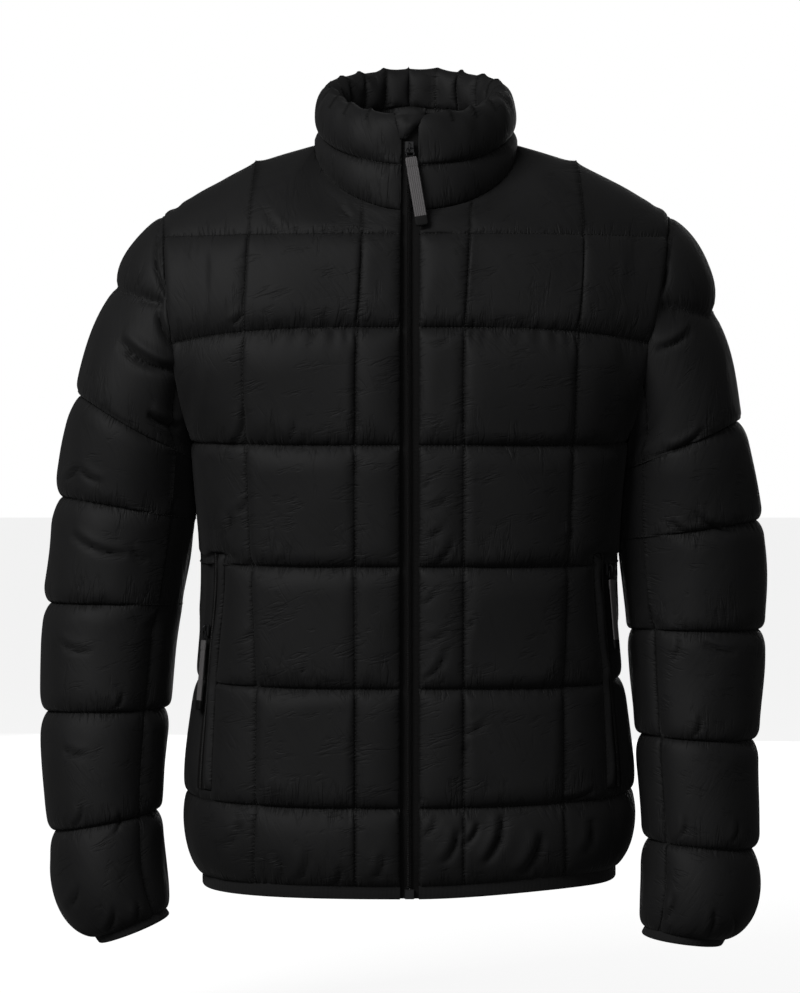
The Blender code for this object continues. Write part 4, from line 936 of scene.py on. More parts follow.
# The larger folds that show, in millimetres: x and z of both ends, half width and depth.
TORSO_FOLDS = (
    (23.3, -384.7, 38.8, -359.2, 2.6, 3.2), (14.2, -488.7, 33.4, -460.4, 2.6, 3.4),
    (10.6, -334.6, 35.2, -321.8, 2.6, 1.6), (10.6, -314.5, 19.7, -305.4, 2.4, 1.6),
    (13.3, -361.9, 33.4, -343.7, 2.6, 1.4), (47.9, -537.9, 69.8, -525.2, 2.4, 2),
    (47, -552.5, 55.2, -548, 2.4, 1.6), (68.9, -655.6, 85.3, -610.9, 3.7, 6.3),
    (103.6, -667.4, 120.9, -629.1, 4.6, 6), (161.9, -649.2, 167.4, -617.3, 3.1, 4.2),
    (47.9, -640.1, 63.4, -619.1, 2.9, 3.9), (30.6, -655.6, 44.3, -624.6, 3.3, 4.5),
    (14.2, -631, 24.2, -612.7, 2.6, 2.4), (140.1, -600, 171.1, -589.9, 2.6, 2),
    (-162.7, -164.9, -151.8, -154, 2.6, 2.4), (-161.8, -276.2, -151.8, -241.5, 3, 2.8),
    (-169.1, -359.2, -167.3, -336.4, 3, 2.8), (-160, -336.4, -148.1, -325.4, 2.6, 1.8),
    (-133.5, -55.5, -114.4, -79.2, 3, 1.8), (-110.7, -273.5, -105.3, -249.7, 2.2, 2.2),
    (-63.3, -54.6, -52.4, -66.4, 3, 1.8), (-115.3, -382, -112.6, -366.5, 2.4, 1.8),
    (-153.6, -453.1, -143.6, -445.8, 2.4, 1.6), (-99.8, -486, -96.2, -473.2, 2.2, 1.6),
    (10.6, -421.2, 24.2, -407.5, 2.4, 1.4), (12.4, -453.1, 36.1, -442.2, 2.6, 1.6),
    (50.7, -442.2, 58.9, -434.9, 2.2, 1.4), (-99.8, -672, -94.3, -642.8, 3.3, 3.3),
    (-31.4, -670.2, -24.1, -644.6, 3.1, 3.3), (-67, -675.6, -63.3, -659.2, 2.9, 2.7),
    (-116.2, -672, -121.7, -650.1, 2.9, 2.7), (-168.2, -644.6, -158.2, -619.1, 3.3, 3.3),
    (18.8, -184.1, 37, -177.7, 2.4, 1.2), (55.2, -170.4, 58.9, -159.5, 2.2, 1.2),
    (100.8, -170.4, 103.6, -157.6, 2.2, 1.2), (143.7, -361.9, 151, -350.1, 2.6, 1.8),
)
SLEEVE_FOLDS = (
    (-269.2, -177.8, -210.3, -207.6, 5, 9), (-232.8, -149.7, -213.1, -187.1, 3.8, 6),
    (-234.6, -75, -223.4, -136.7, 2.8, 3.2), (-241.2, -245, -214.1, -258.1, 3.8, 6),
    (-324.3, -306.6, -307.5, -293.6, 2.8, 2.4), (-309.3, -293.6, -284.1, -309.5, 3, 2.6),
    (-315, -356.2, -260.8, -375.8, 3.4, 3.6), (-257, -371.1, -242.1, -381.4, 2.8, 2.2),
    (-326.2, -456.1, -292.5, -465.4, 3, 2), (-320.6, -554.2, -296.3, -560.7, 3, 1.8),
    (-270.1, -517.7, -264.5, -502.8, 2.4, 1.8), (-307.5, -626.1, -301.9, -607.4, 2.6, 2.2),
    (-270.1, -631.7, -266.4, -611.1, 2.6, 2), (-316.8, -703.6, -303.7, -680.2, 3, 2.2),
    (-277.6, -722.3, -270.1, -697.1, 3, 2.4), (-251.4, -713.9, -249.6, -693.3, 2.6, 1.8),
    (226.8, -187.1, 262.3, -166.5, 3.4, 4), (230.5, -134.8, 238, -103, 2.8, 2.6),
    (238, -280.5, 271.6, -259.9, 3, 2.8), (262.3, -336.5, 305.2, -355.2, 3.2, 3),
    (241.7, -344, 262.3, -357.1, 2.6, 2), (271.6, -456.1, 305.2, -465.4, 2.8, 2),
    (243.6, -474.8, 249.2, -448.6, 2.4, 1.6), (262.3, -544.8, 267.9, -523.3, 2.6, 1.8),
    (297.8, -641, 303.4, -620.5, 2.6, 2), (249.2, -638.2, 252.9, -616.7, 2.4, 1.8),
    (234.2, -712.9, 241.7, -687.7, 3, 2.2), (273.5, -727, 279.1, -698.9, 3, 2.4),
    (299.6, -727, 297.8, -704.5, 2.6, 1.8),
)
# Folds of the same kind lie on the back, mirrored, and on the hidden sides of the sleeves.
turned = [(-x0 * 0.93, z0 + 9, -x1 * 0.93, z1 + 9, *form) for x0, z0, x1, z1, *form in TORSO_FOLDS]
lower = [(x0, z0 - 17, x1, z1 - 17, *form) for x0, z0, x1, z1, *form in SLEEVE_FOLDS]
fold_distance = {}
for name in cloths:
    fold_distance[name] = 1.0
    kinds = (SLEEVE_FOLDS, lower) if name.startswith("sleeve") else (TORSO_FOLDS, turned)
    for face, folds in zip((-1, 1), kinds):
        cloths[name], nearest = folded(cloths[name], outs[name], folds, face)
        fold_distance[name] = np.minimum(fold_distance[name], nearest)

column_lines = {
    "front_left": LINE_COLUMNS,
    "back": [TORSO_COLUMNS + way * column for column in LINE_COLUMNS[1:] for way in (1, -1)],
    "front_right": [TORSO_COLUMNS - column for column in LINE_COLUMNS],
}
# The yoke's line is pulled less tight than the rest, so its gathers are shorter.
stitch_fields = {}
for name, lines in column_lines.items():
    fields = from_stitches(surfaces[name], stitched[:-2] + stitched[-1:], lines)
    loose_line = YOKE_EASE * from_stitches(surfaces[name], stitched[-2:-1], lines)
    fields[..., :2] = np.minimum(fields, loose_line)[..., :2]
    stitch_fields[name] = fields
# The line over the sleeve's head is sewn down into the cloth all along but for its ends.
for side in (1, -1):
    name = "sleeve_" + SIDE_NAME[side]
    stitch_fields[name] = plans[name][6]
    head_gap = plans[name][6][:HEAD_CELLS + 1, :, :2].min(axis=-1)
    live = plans[name][3][1]
    sink = HEAD_SINK * np.exp(-((head_gap[:, live] / HEAD_SINK_WIDTH) ** 2))
    sink[[0, 1, 2, 3, -4, -3, -2, -1]] = 0
    cloths[name][:HEAD_CELLS + 1, live] -= outs[name][:HEAD_CELLS + 1, live] * sink[..., None]
# The large folds count as upright stitch lines in the distance the shell reads, so its side gathers
# and its painted groove shade follow them too.
for name, fields in stitch_fields.items():
    fields[..., 2] = np.minimum(fields[..., 2], fold_distance[name])

for name in ("front_left", "front_right", "back"):
    inside = surfaces[name] - outs[name] * WALL
    piece = cloth_mesh(name + "_cloth", cloths[name], inside, shell, stitch_fields[name])
    dressed(piece, name)

first, last = SEAM_COLUMNS
for name in ("sleeve_left", "sleeve_right"):
    grids = (cloths[name], surfaces[name] - outs[name] * WALL, stitch_fields[name])
    upper = [grid[:, first:last + 1] for grid in grids]
    under = [np.concatenate([grid[:, last:-1], grid[:, :first + 1]], axis=1) for grid in grids]
    for half, (outside, inside, fields) in (("_upper", upper), ("_under", under)):
        piece = cloth_mesh(name + half + "_cloth", outside, inside, shell, fields)
        dressed(piece, name + half)

# ---------------------------------------------------------------- collar
# A stand-up collar: two cushions outside, one above the other, rolled over the rim into a
# facing that is sewn in short upright channels all round, with a flat strip below them.

COLLAR_SEAM = (NECK_SIDE, NECK_FRONT[0], NECK_BACK[0], NECK_FRONT[1], NECK_SIDE_Z, NECK_BACK[1])
COLLAR_CHANNEL = (0.0895, -0.1035, 0.0715, -0.018, 0.027, 0.053)
COLLAR_RIM = (0.0815, -0.0960, 0.0700, 0.031, 0.070, 0.0950)
FACING_LINE = (0.0755, -0.0880, 0.0620, -0.016, 0.030, 0.055)
FACING_FOOT = (0.0893, -0.0970, 0.0620, -0.053, 0.010, 0.018)
COLLAR_CELLS, FACING_CELLS = (18, 20), (20, 14)
RIM_OVER, RIM_UNDER = (0.8, 0.6), (0.9, 0.1)
CHANNEL_WIDTH, CHANNEL_LIFT, COLLAR_CAP = 27 * MM, 1.0 * MM, 9 * MM
LOWER_FULL, FOOT_FULL, END_FULL = 0.75, 0.15, 0.3


def collar_ring(ring, neck):
    """A ring over the neckline's points: each keeps its angle round the neck on a half ellipse
    in front and another behind."""
    half_width, front_y, back_y, front_z, side_z, back_z = ring
    sine = np.clip(neck[:, 0] / NECK_SIDE, -1, 1)
    cosine = np.sqrt(1 - sine**2)
    front = neck[:, 1] < 0
    y = np.where(front, front_y, back_y) * cosine
    z = side_z + (np.where(front, front_z, back_z) - side_z) * cosine
    return np.column_stack([half_width * sine, y, z])


neck = np.concatenate([
    front_quarter[-1, :NECK_CELLS], back_quarter[-1, NECK_CELLS::-1],
    (back_quarter[-1] * mirror)[1:NECK_CELLS], (front_quarter[-1] * mirror)[NECK_CELLS::-1],
])
rings = np.array([collar_ring(ring, neck) for ring in (COLLAR_SEAM, COLLAR_CHANNEL, COLLAR_RIM)])
inward = unit(-rings[-1] * (1, 1, 0))
over, under = (unit(way * inward + rise * np.array([0, 0, 1.0]))
               for way, rise in (RIM_OVER, RIM_UNDER))
outer = rows_through(rings, COLLAR_CELLS, [(1, 1), (1, 0)], end=over)
rings = np.array([collar_ring(ring, neck) for ring in (COLLAR_RIM, FACING_LINE, FACING_FOOT)])
facing = rows_through(rings, FACING_CELLS, [(0, 1), (1, 1)], start=under)
collar = leaned(np.concatenate([outer, facing[1:]]))
(collar_out,) = facing_out([collar], [np.array([LEAN, -0.015, 0.02])])
collar_rows, collar_columns = collar.shape[:2]
rim_row = sum(COLLAR_CELLS)
collar_lines = [0, COLLAR_CELLS[0], rim_row + FACING_CELLS[0], collar_rows - 1]
collar_held = np.zeros((collar_rows, collar_columns), bool)
collar_held[collar_lines] = True
collar_held[:, [0, -1]] = True
collar_lift = np.zeros((collar_rows, collar_columns))
rim_length = lengths_along(collar[rim_row])
from_back = rim_length - rim_length[collar_columns // 2]
channels = {int(np.abs(from_back - k * CHANNEL_WIDTH).argmin()) for k in range(-9, 10)}
channels = sorted(column for column in channels if 4 < column < collar_columns - 5)
facing_rows = slice(rim_row - 1, rim_row + FACING_CELLS[0])
collar_held[facing_rows, channels] = True
collar_lift[facing_rows, channels] = CHANNEL_LIFT
collar_full = np.ones((collar_rows, collar_columns))
collar_full[:COLLAR_CELLS[0]] = LOWER_FULL
collar_full[rim_row + FACING_CELLS[0]:] = FOOT_FULL
ends = plump(places_between(collar_columns, (0, collar_columns - 1)), 12)
collar_full *= np.maximum(ends, END_FULL)[None]
collar_cloth = blown_up(collar, collar_out, collar_held, collar_lift, collar_full,
                        COLLAR_CAP * collar_full, 0.06 * collar_full, 0.05 * collar_full, 71)
inside = collar - collar_out * WALL
collar_stitches = from_stitches(collar, collar_lines, (0, *channels, -1))
collar_stitches[:rim_row - 4, :, 2] = 1.0
for name, part in (("collar", slice(0, rim_row + 1)), ("collar_facing", slice(rim_row, None))):
    piece = cloth_mesh(name + "_cloth", collar_cloth[part], inside[part], shell,
                       collar_stitches[part])
    dressed(piece, name)

# ---------------------------------------------------------------- zip
# A nylon coil zip: two woven tapes behind the front edges, a coil sewn to the edge of each, a
# metal slider near the top and a small box at the foot. The coils mesh down the middle.

TAPE_WIDTH, TAPE_THICKNESS, TAPE_FALL = 12.5 * MM, 0.7 * MM, 1.35 * MM
TAPE_INSET, TAPE_BEHIND, TAPE_STEP = 0.15 * MM, 0.3 * MM, 3 * MM
COIL_PITCH, COIL_REACH, COIL_RISE, COIL_WIRE = 1.7 * MM, 1.25 * MM, 0.95 * MM, 0.34 * MM
COIL_STEPS, COIL_SEWN = 8, 0.85
SLIDER_Z, SLIDER_LENGTH = -0.002, 11 * MM
ZIP_BOX_LENGTH, HEM_BINDING_HEIGHT = 9 * MM, 11 * MM


def resampled(path, outward, step):
    """The path and its outward directions at even steps of this length."""
    length = lengths_along(path)
    at = np.linspace(0, length[-1], max(2, int(round(length[-1] / step)) + 1))
    return (np.stack([np.interp(at, length, path[:, k]) for k in range(3)], axis=1),
            unit(np.stack([np.interp(at, length, outward[:, k]) for k in range(3)], axis=1)))


def path_frames(path, outward):
    """Directions across, to the left of the way up, and out, at each point of a path."""
    along = unit(np.gradient(path, axis=0))
    out = unit(outward - (outward * along).sum(-1, keepdims=True) * along)
    return np.cross(along, out), out


def tube_faces(sections, closed=False):
    """The faces of a tube through matching outlines, turned to face out; also the grid of its
    point numbers and whether they had to be turned."""
    number = np.arange(sections[..., 0].size).reshape(sections.shape[:2])
    after = np.roll(number, -1, axis=0) if closed else number[1:]
    before = number if closed else number[:-1]
    quads = np.stack([before, np.roll(before, -1, axis=1), np.roll(after, -1, axis=1), after], -1)
    quads = quads.reshape(-1, 4)
    a, b, c = (sections.reshape(-1, 3)[quads[:, k]] for k in (0, 1, 2))
    middle = np.repeat(sections.mean(axis=1)[:len(before)], sections.shape[1], axis=0)
    turned = (np.cross(b - a, c - a) * (a + c - 2 * middle)).sum() < 0
    return quads[:, ::-1] if turned else quads, number, turned


def swept(name, sections, finish, closed=False):
    """A closed form through a stack of matching outlines, capped by fans unless it is a ring.
    UV is the distance round the outline and along the path in metres."""
    quads, number, turned = tube_faces(sections, closed)
    around, along = (line_places(sections, axis) for axis in (1, 0))
    uv = np.stack(np.broadcast_arrays(around[None], along[:, None]), -1).reshape(-1, 2)
    points, faces = sections.reshape(-1, 3), [quads]
    if not closed:
        ends = [np.full(number.shape[1], number.size + k) for k in (0, 1)]
        first = np.stack([np.roll(number[0], -1), number[0], ends[0]], -1)
        last = np.stack([number[-1], np.roll(number[-1], -1), ends[1]], -1)
        caps = np.concatenate([first, last])
        faces.append(caps[:, ::-1] if turned else caps)
        points = np.concatenate([points, sections[[0, -1]].mean(axis=1)])
        uv = np.concatenate([uv, uv[[0, -1]]])
    return mesh_piece(name, points, faces, finish, uv)


def joined(name, parts, finish):
    """Several swept forms as one piece, each closed by a face at either end."""
    faces, start = [], 0
    for sections in parts:
        quads, number, turned = tube_faces(sections)
        ends = np.array([number[0, ::-1], number[-1]])
        faces += [start + quads, start + (ends[:, ::-1] if turned else ends)]
        start += number.size
    points = np.concatenate([sections.reshape(-1, 3) for sections in parts])
    return mesh_piece(name, points, faces, finish)


def coil_sections(path, outward, side, low):
    """A wire wound round the edge of a tape: out and back across the path by a cosine, up and
    down by a sine, one turn to a pitch, as four-sided outlines eight to a turn. The coil of the
    other side is half a turn on."""
    path, outward = resampled(path, outward, COIL_PITCH / COIL_STEPS)
    across, out = path_frames(path, outward)
    angle = 2 * math.pi * (np.arange(len(path)) / COIL_STEPS + 0.25 - side * 0.25)
    wide = side * (COIL_SEWN * COIL_REACH + COIL_REACH * np.cos(angle))
    centre = (path + across * wide[:, None]
              + out * (low + COIL_RISE * (1 + np.sin(angle)))[:, None])
    along = unit(np.gradient(centre, axis=0))
    up = unit(out - (out * along).sum(-1, keepdims=True) * along)
    wide = np.cross(along, up)
    corners = [(1, 0), (0, 1), (-1, 0), (0, -1)]
    return np.stack([centre + (wide * a + up * b) * COIL_WIRE for a, b in corners], axis=1)


def coil_piece(name, path, outward, low):
    """The two meshed coils of a zip."""
    coils = [coil_sections(path, outward, side, low) for side in (1, -1)]
    return dressed(joined(name + "_wire", coils, coil_nylon), name)


tape_cloth = Finish("zip_tape")
rib = tape_cloth.wave(tape_cloth.place("UV"), 260.0, "Y")
tape_cloth.shade(Base_Color=(0.0060, 0.0058, 0.0058, 1), Roughness=0.75, Specular_IOR_Level=0.12,
                 Normal=tape_cloth.bump(rib, 0.5, 0.0003))
coil_nylon = Finish("zip_coil_nylon")
scuff = coil_nylon.noise(coil_nylon.place("Object"), 900.0)
coil_nylon.shade(Base_Color=(0.0075, 0.0072, 0.0072, 1), Roughness=scuff * 0.2 + 0.38,
                 Specular_IOR_Level=0.3)

# The zip runs up the front edges and the collar; its tapes go on down into the hem's binding.
zip_path = np.concatenate([front_quarter[:, 0], collar[1:rim_row, 0]]) * (0, 1, 1)
zip_out = np.concatenate([outs["front_left"][:, 0], collar_out[1:rim_row, 0]]) * (0, 1, 1)
coil_foot = zip_path[0, 2] + ZIP_BOX_LENGTH - HEM_BINDING_HEIGHT
zip_path = np.concatenate([zip_path[:1] - (0, 0, HEM_BINDING_HEIGHT - 0.5 * MM), zip_path])
zip_out = np.concatenate([zip_out[:1], zip_out])
path, outward = resampled(zip_path, zip_out, TAPE_STEP)
across, out = path_frames(path, outward)
t = np.linspace(0, 1, 5)
wide, high = TAPE_INSET + TAPE_WIDTH * t, -WALL - TAPE_BEHIND - TAPE_FALL * t
wide, high = np.concatenate([wide, wide[::-1]]), np.concatenate([high, high[::-1] - TAPE_THICKNESS])
for side in (1, -1):
    sections = (path[:, None] + across[:, None] * (side * wide)[None, :, None]
                + out[:, None] * high[None, :, None])
    node = "zip_tape_" + SIDE_NAME[side]
    tape = dressed(swept(node + "_cloth", sections, tape_cloth), node)
meshed = (path[:, 2] > coil_foot) & (path[:, 2] < SLIDER_Z - SLIDER_LENGTH * 0.3)
coil_piece("zip_coil", path[meshed], outward[meshed], -WALL)

# Slider, box and wire loops: die-cast metal under black paint, rubbed on its edges.
painted = Finish("black_painted_metal")
worn = painted.noise(painted.place("Object"), 700.0, 3.0)
painted.shade(Base_Color=(0.020, 0.020, 0.021, 1), Metallic=0.6, Roughness=worn * 0.25 + 0.26,
              Normal=painted.bump(worn, 0.2, 0.0002))
for name in ("zip_box", "zip_slider", "zip_loop", "pocket_slider_left", "pocket_slider_right",
             "pocket_loop_left", "pocket_loop_right"):
    frame["nodes"][name].material_slots[0].material = painted.material

# ---------------------------------------------------------------- pulls
# Each pull is a short piece of grey webbing, doubled where it is sewn round the slider's wire
# loop, its lower end sealed in a moulded black tip. All three hang by their own weight.

LOOP_LENGTH, LOOP_WIRE, LOOP_GAP, TIP_GAP = 7.5 * MM, 0.7 * MM, 0.3 * MM, 0.1 * MM
TAB_SIZE, TIP_SIZE = (11 * MM, 1.6 * MM, 56 * MM), (12 * MM, 2.8 * MM, 9 * MM)
TAB_SEWN, TAB_DOUBLED = 0.17, 0.35
PULL_TILT, PULL_LEAN, POCKET_LEAN = math.radians(9.3), math.radians(9), math.radians(5)

webbing = Finish("grey_webbing")
web_place = webbing.place("UV")
cords, picks = webbing.wave(web_place, 175.0, "X"), webbing.wave(web_place, 240.0, "Y")
fuzz = webbing.noise(web_place, 1500.0)
web_tone = webbing.mixed(cords * 0.5 + fuzz * 0.4,
                         (0.060, 0.057, 0.058, 1), (0.165, 0.158, 0.160, 1))
webbing.shade(Base_Color=web_tone, Roughness=0.85, Specular_IOR_Level=0.2,
              Normal=webbing.bump(cords * 0.7 + picks * cords * 0.5, 0.7, 0.0004))
moulded = Finish("moulded_tip")
tip_grain = moulded.noise(moulded.place("Object"), 1800.0)
moulded.shade(Base_Color=(0.004, 0.004, 0.004, 1), Roughness=0.7, Specular_IOR_Level=0.15,
              Normal=moulded.bump(tip_grain, 0.3, 0.0002))


def flat_outline(width, thickness, corners=28):
    """A flat oval: cosine and sine raised to a third, so that it has flat faces and round edges."""
    angle = np.linspace(0, 2 * math.pi, corners, endpoint=False)
    x = np.sign(np.cos(angle)) * np.abs(np.cos(angle)) ** 0.35 * width / 2
    y = np.sign(np.sin(angle)) * np.abs(np.sin(angle)) ** 0.5 * thickness / 2
    return np.stack([x, y], -1)


def hung_form(name, top, length, width, thickness, pivot, finish, steps):
    """A flat form hanging from a pivot: the outline's width and thickness are given at places
    along its length, and its three directions are across, behind and up at the pivot."""
    place, across, behind, up = pivot
    sections = []
    for t in np.linspace(0, 1, steps + 1):
        outline = flat_outline(float(width(t)), float(thickness(t)))
        sections.append(place + across * outline[:, :1] + behind * outline[:, 1:]
                        + up * (top - length * t))
    return swept(name, np.stack(sections), finish)


def tab_width(t):
    """Narrowed a little by a bell curve where it is sewn, and more at its top."""
    sewn, top = math.exp(-((t - TAB_SEWN) / 0.02) ** 2), math.exp(-(t / 0.02) ** 2)
    return TAB_SIZE[0] * (1 - 0.06 * sewn - 0.10 * top)


def tab_thickness(t):
    """Thicker above the seam, where it is doubled, and pressed thin at the seam."""
    sewn = math.exp(-((t - TAB_SEWN) / 0.015) ** 2)
    return TAB_SIZE[1] * (1 + TAB_DOUBLED * (t < 0.16) - 0.25 * sewn)


joints = {joint["name"]: joint for joint in frame["joints"]}
for name, loop, tip_node, lean in (
    ("zip_pull", "zip_loop", "zip_pull_tip", PULL_LEAN),
    ("pocket_pull_left", "pocket_loop_left", "pocket_pull_tip_left", POCKET_LEAN),
    ("pocket_pull_right", "pocket_loop_right", "pocket_pull_tip_right", POCKET_LEAN),
):
    place, axis = (np.array(joints[name + "_swing"][key], float) for key in ("pos_m", "axis"))
    if name == "zip_pull":
        facing_way = np.array([0, -1.0, 0])
        hang = np.array([math.sin(PULL_TILT) * math.cos(lean), -math.sin(lean),
                         -math.cos(PULL_TILT) * math.cos(lean)])
    else:
        facing_way = np.array([-axis[1], axis[0], 0])
        facing_way *= np.sign(facing_way[0] * place[0])
        hang = facing_way * math.sin(lean) + np.array([0, 0, -math.cos(lean)])
    up = -unit(hang)
    behind = -unit(facing_way - up * (facing_way @ up))
    pivot = (place, np.cross(behind, up), behind, up)
    top = -LOOP_LENGTH - LOOP_WIRE - LOOP_GAP
    tab = hung_form(
        name + "_webbing", top, TAB_SIZE[2], tab_width, tab_thickness, pivot, webbing, 60)
    tip = hung_form(
        name + "_tip_moulded", top - TAB_SIZE[2] - TIP_GAP, TIP_SIZE[2],
        lambda t: TIP_SIZE[0] * (1 - 0.10 * (2 * t - 1) ** 8 - 0.12 * t**6),
        lambda t: TIP_SIZE[1] * (1 - 0.35 * (2 * t - 1) ** 6), pivot, moulded, 16)
    dressed(tab, name, name + "_body")
    dressed(tip, tip_node, name + "_body")

# ---------------------------------------------------------------- zip garage
# A small padded flap of shell cloth over the top of the zip, sewn to the right half of the
# collar; its lower edge is cut on a slant.

# Height, then the flap's edge to the right and left of the zip.
GARAGE = np.array([
    (0.0055, -0.0090, -0.0034), (0.0120, -0.0105, 0.0030), (0.0200, -0.0125, 0.0095),
    (0.0280, -0.0138, 0.0148), (0.0350, -0.0150, 0.0165),
])
GARAGE_ROWS, GARAGE_COLUMNS = 29, 25
GARAGE_STAND, GARAGE_WALL, GARAGE_PUFF, GARAGE_ARCH = 0.4 * MM, 0.3 * MM, 3.4 * MM, 2.2 * MM

height = np.linspace(GARAGE[0, 0], GARAGE[-1, 0], GARAGE_ROWS)
left, right = (np.interp(height, GARAGE[:, 0], GARAGE[:, k]) for k in (1, 2))
edge_y = np.minimum(collar_cloth[:rim_row, 0, 1], collar_cloth[:rim_row, -1, 1])
stand = np.interp(height, collar_cloth[:rim_row, -1, 2], edge_y) - GARAGE_STAND
down, share = np.linspace(0, 1, GARAGE_ROWS), np.linspace(0, 1, GARAGE_COLUMNS)
x = left[:, None] + (right - left)[:, None] * share
arch = GARAGE_ARCH * down[:, None] ** 3 * (np.sin(math.pi * share) - 0.5)[None]
flap_inside = np.stack([x, np.broadcast_to(stand[:, None], x.shape), height[:, None] + arch], -1)
dome = plump(down, 2.5)[:, None] * plump(share, 2.5)[None]
dome = dome * (1 + 0.3 * uneven(dome.shape, 6, 83))
flap_outside = flap_inside - np.stack([dome * 0, GARAGE_WALL + dome * GARAGE_PUFF, dome * 0], -1)
flap = cloth_mesh("zip_garage_cloth", flap_outside, flap_inside, shell,
                  2 * from_stitches(flap_outside))
dressed(flap, "zip_garage")

# ---------------------------------------------------------------- bindings
# The hem and both cuffs are edged with a narrow stretch binding, folded over the raw edge and
# sewn down; it draws the cloth in, so it lies in fine upright ripples.

BINDING_WALL, CUFF_BINDING_HEIGHT = 4 * MM, 8 * MM
BINDING_THICKNESS, BINDING_GRIP, BINDING_STEP = 0.7 * MM, 1.8 * MM, 1.1 * MM
RIPPLE_DEPTH, RIPPLE_LENGTH = 0.35 * MM, 4.2 * MM

stretch_binding = Finish("stretch_binding")
binding_place = stretch_binding.place("UV")
knit = stretch_binding.wave(binding_place, 330.0, "Y")
knit = knit * stretch_binding.wave(binding_place, 260.0, "X")
stretch_binding.shade(
    Base_Color=(0.0095, 0.0095, 0.0098, 1), Roughness=0.82, Specular_IOR_Level=0.15,
    Sheen_Weight=0.05, Normal=stretch_binding.bump(knit, 0.5, 0.0003))


def folded_binding(edge, downward, outward, height, seed):
    """Outlines of a strip folded over an edge: down the outside, round under it and up the
    inside, its walls rippling in and out by a sine of uneven step along the edge."""
    down = unit(downward)
    out = unit(outward - (outward * down).sum(-1, keepdims=True) * down)
    fold = np.linspace(0, math.pi, 9)[1:-1]
    half, drop = BINDING_WALL / 2, height - BINDING_WALL / 2
    centre = 0.30 * BINDING_WALL - half
    x = np.concatenate([[half] * 3, half * np.cos(fold), [-half] * 3]) + centre
    z = np.concatenate([[-BINDING_GRIP, drop * 0.45, drop], drop + half * np.sin(fold),
                        [drop, drop * 0.45, -BINDING_GRIP]])
    swell = np.array([-0.5, 0.9, 0.6] + [0.2] * 7 + [0.3, 0.3, 0])
    inner = np.stack([x - np.sign(x - centre) * BINDING_THICKNESS, z - BINDING_THICKNESS * (
        np.abs(x - centre) < half * 0.99)], -1)[::-1]
    rng = np.random.default_rng(seed)
    steps = np.concatenate([[0], np.diff(lengths_along(edge))])
    place = np.cumsum(rng.uniform(0.75, 1.35, len(edge)) * steps)
    ripple = RIPPLE_DEPTH * np.sin(2 * math.pi * place / RIPPLE_LENGTH)
    ripple = ripple * rng.uniform(0.5, 1.2, len(edge))
    outer_x = x[None] + ripple[:, None] * swell[None]
    x = np.concatenate([outer_x, np.broadcast_to(inner[:, 0], (len(edge), len(inner)))], axis=1)
    z = np.broadcast_to(np.concatenate([z, inner[:, 1]]), x.shape)
    return edge[:, None] + out[:, None] * x[..., None] + down[:, None] * z[..., None]


def binding_piece(name, edge, outward, down, height, seed, closed, on):
    """A binding sewn along an edge, its outlines closed into a ring round a cuff."""
    edge, outward = resampled(edge, outward, BINDING_STEP)
    sections = folded_binding(edge, np.tile(down, (len(edge), 1)), outward, height, seed)
    piece = swept(name + "_cloth", sections[:-1] if closed else sections, stretch_binding, closed)
    dressed(piece, name)


hem_edge, hem_out = (
    np.concatenate([grids["front_left"][0], grids["back"][0][-2::-1], grids["front_right"][0][1:]])
    for grids in (surfaces, outs))
binding_piece("hem_binding", hem_edge, hem_out, [0, 0, -1.0], HEM_BINDING_HEIGHT, 5, False,
              ["front_left_cloth", "back_cloth", "front_right_cloth"])
for side in (1, -1):
    name = "sleeve_" + SIDE_NAME[side]
    along = unit((sleeves[side][-1] - sleeves[side][-14]).mean(axis=0))
    binding_piece("cuff_binding_" + SIDE_NAME[side], sleeves[side][-1], outs[name][-1], along,
                  CUFF_BINDING_HEIGHT, 6 + side, True,
                  [name + "_upper_cloth", name + "_under_cloth"])

# ---------------------------------------------------------------- side pockets
# Each front has an upright zipped pocket by the side seam: a padded welt along its front edge
# covers a narrow coil zip whose pull hangs behind it.

WELT_BASE, WELT_RISE, WELT_PUFF, TAPE_LIFT = 1.0 * MM, 2.2 * MM, 4.2 * MM, 1.5 * MM

for side in (1, -1):
    name, end = "front_" + SIDE_NAME[side], SIDE_NAME[side]
    lines = np.array([POCKET_COLUMN - 2, POCKET_COLUMN + 8, POCKET_COLUMN + 16])
    lines = lines if side > 0 else TORSO_COLUMNS - lines
    (base, out), (tape_base, tape_out) = (
        [grid[pocket_rows, min(pair):max(pair) + 1] for grid in (surfaces[name], outs[name])]
        for pair in (lines[:2], lines[1:]))
    v, u = (np.linspace(0, 1, count) for count in base.shape[:2])
    puff = plump(u, 2.2)[None] * plump(v, 24)[:, None]
    rise = WELT_RISE + WELT_PUFF * puff * (1 + 0.25 * uneven(base.shape[:2], 9, 91 + side))
    welt = cloth_mesh("pocket_welt_" + end + "_cloth", base + out * rise[..., None],
                      base + out * WELT_BASE, shell, 2.5 * from_stitches(base))
    dressed(welt, "pocket_welt_" + end)

    top = TAPE_LIFT + TAPE_THICKNESS
    tape = cloth_mesh("pocket_tape_" + end + "_cloth", tape_base + tape_out * top,
                      tape_base + tape_out * TAPE_LIFT, tape_cloth)
    dressed(tape, "pocket_tape_" + end)
    middle, middle_out = tape_base.mean(axis=1), unit(tape_out.mean(axis=1))
    name + "_cloth"
    coil_piece("pocket_coil_" + end, middle, middle_out, top)

# ---------------------------------------------------------------- quilting thread
# Black polyester thread: each stitch of the quilting is a short raised bead whose two ends dip
# into the cloth, one every three and a half millimetres along every line.

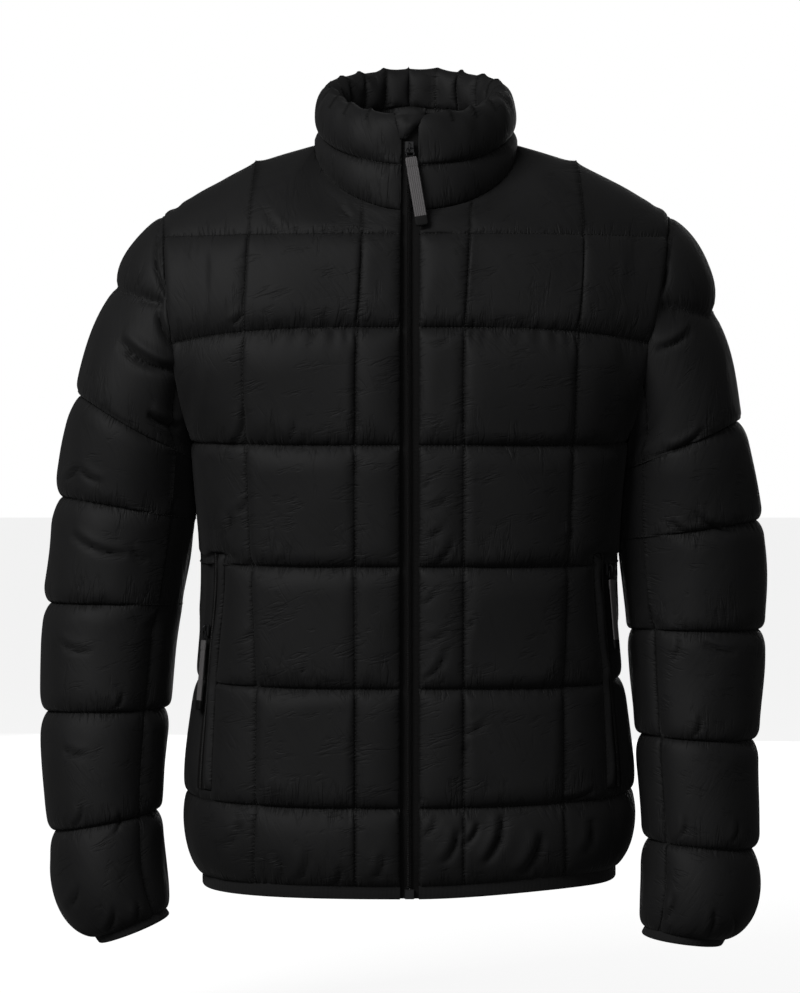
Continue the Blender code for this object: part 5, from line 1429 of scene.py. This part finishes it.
STITCH_PITCH, STITCH_LENGTH, STITCH_RADIUS, STITCH_RISE = 3.5 * MM, 2.5 * MM, 0.24 * MM, 0.30 * MM
seams = []
for name in ("front_left", "front_right", "back"):
    inner = [column for column in column_lines[name] if 0 < column < cloths[name].shape[1] - 1]
    for way in [(row,) for row in stitched[1:-1]] + [(slice(None), column) for column in inner]:
        seams.append((cloths[name][way], outs[name][way]))
for name in ("sleeve_left", "sleeve_right"):
    seams += [(cloths[name][row], outs[name][row]) for row in sleeve_lines[1:-1]]
    row, column, part, _ = plans[name][3]
    part = part[:, None]
    seams.append((cloths[name][row, column] * (1 - part) + cloths[name][row + 1, column] * part,
                  outs[name][row, column]))
seams += [(collar_cloth[row], collar_out[row]) for row in collar_lines[1:-1]]
seams += [(collar_cloth[rim_row + 2:, c], collar_out[rim_row + 2:, c]) for c in channels]
places, rises, ways = [], [], []
for line, rise in seams:
    line, rise = resampled(line, rise, STITCH_PITCH)
    places.append((line[1:] + line[:-1]) / 2)
    rises.append(unit(rise[1:] + rise[:-1]))
    ways.append(unit(np.diff(line, axis=0)))
places, rises, ways = (np.concatenate(part)[:, None, None] for part in (places, rises, ways))
along = (np.array([-0.5, -0.28, 0.28, 0.5]) * STITCH_LENGTH)[None, :, None, None]
high = (np.array([-1.0, 1.0, 1.0, -1.0]) * STITCH_RISE)[None, :, None, None]
corner = np.radians([45, 135, 225, 315])[None, None, :, None]
beads = (places + ways * along + rises * (high + STITCH_RADIUS * np.sin(corner))
         + np.cross(ways, rises) * STITCH_RADIUS * np.cos(corner))
number = np.arange(beads[..., 0].size).reshape(beads.shape[:3])
around = np.roll(number, -1, axis=2)
sides = np.stack([number[:, :-1], number[:, 1:], around[:, 1:], around[:, :-1]], -1).reshape(-1, 4)
thread = Finish("black_thread")
twist = thread.wave(thread.place("Object"), 900.0, "DIAGONAL")
thread.shade(Base_Color=(0.009, 0.009, 0.009, 1), Roughness=0.6, Specular_IOR_Level=0.25,
             Normal=thread.bump(twist, 0.4, 0.0001))
stitching = mesh_piece("quilting_thread", beads.reshape(-1, 3),
                       [sides, number[:, 0], number[:, -1, ::-1]], thread)
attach(stitching, "jacket")
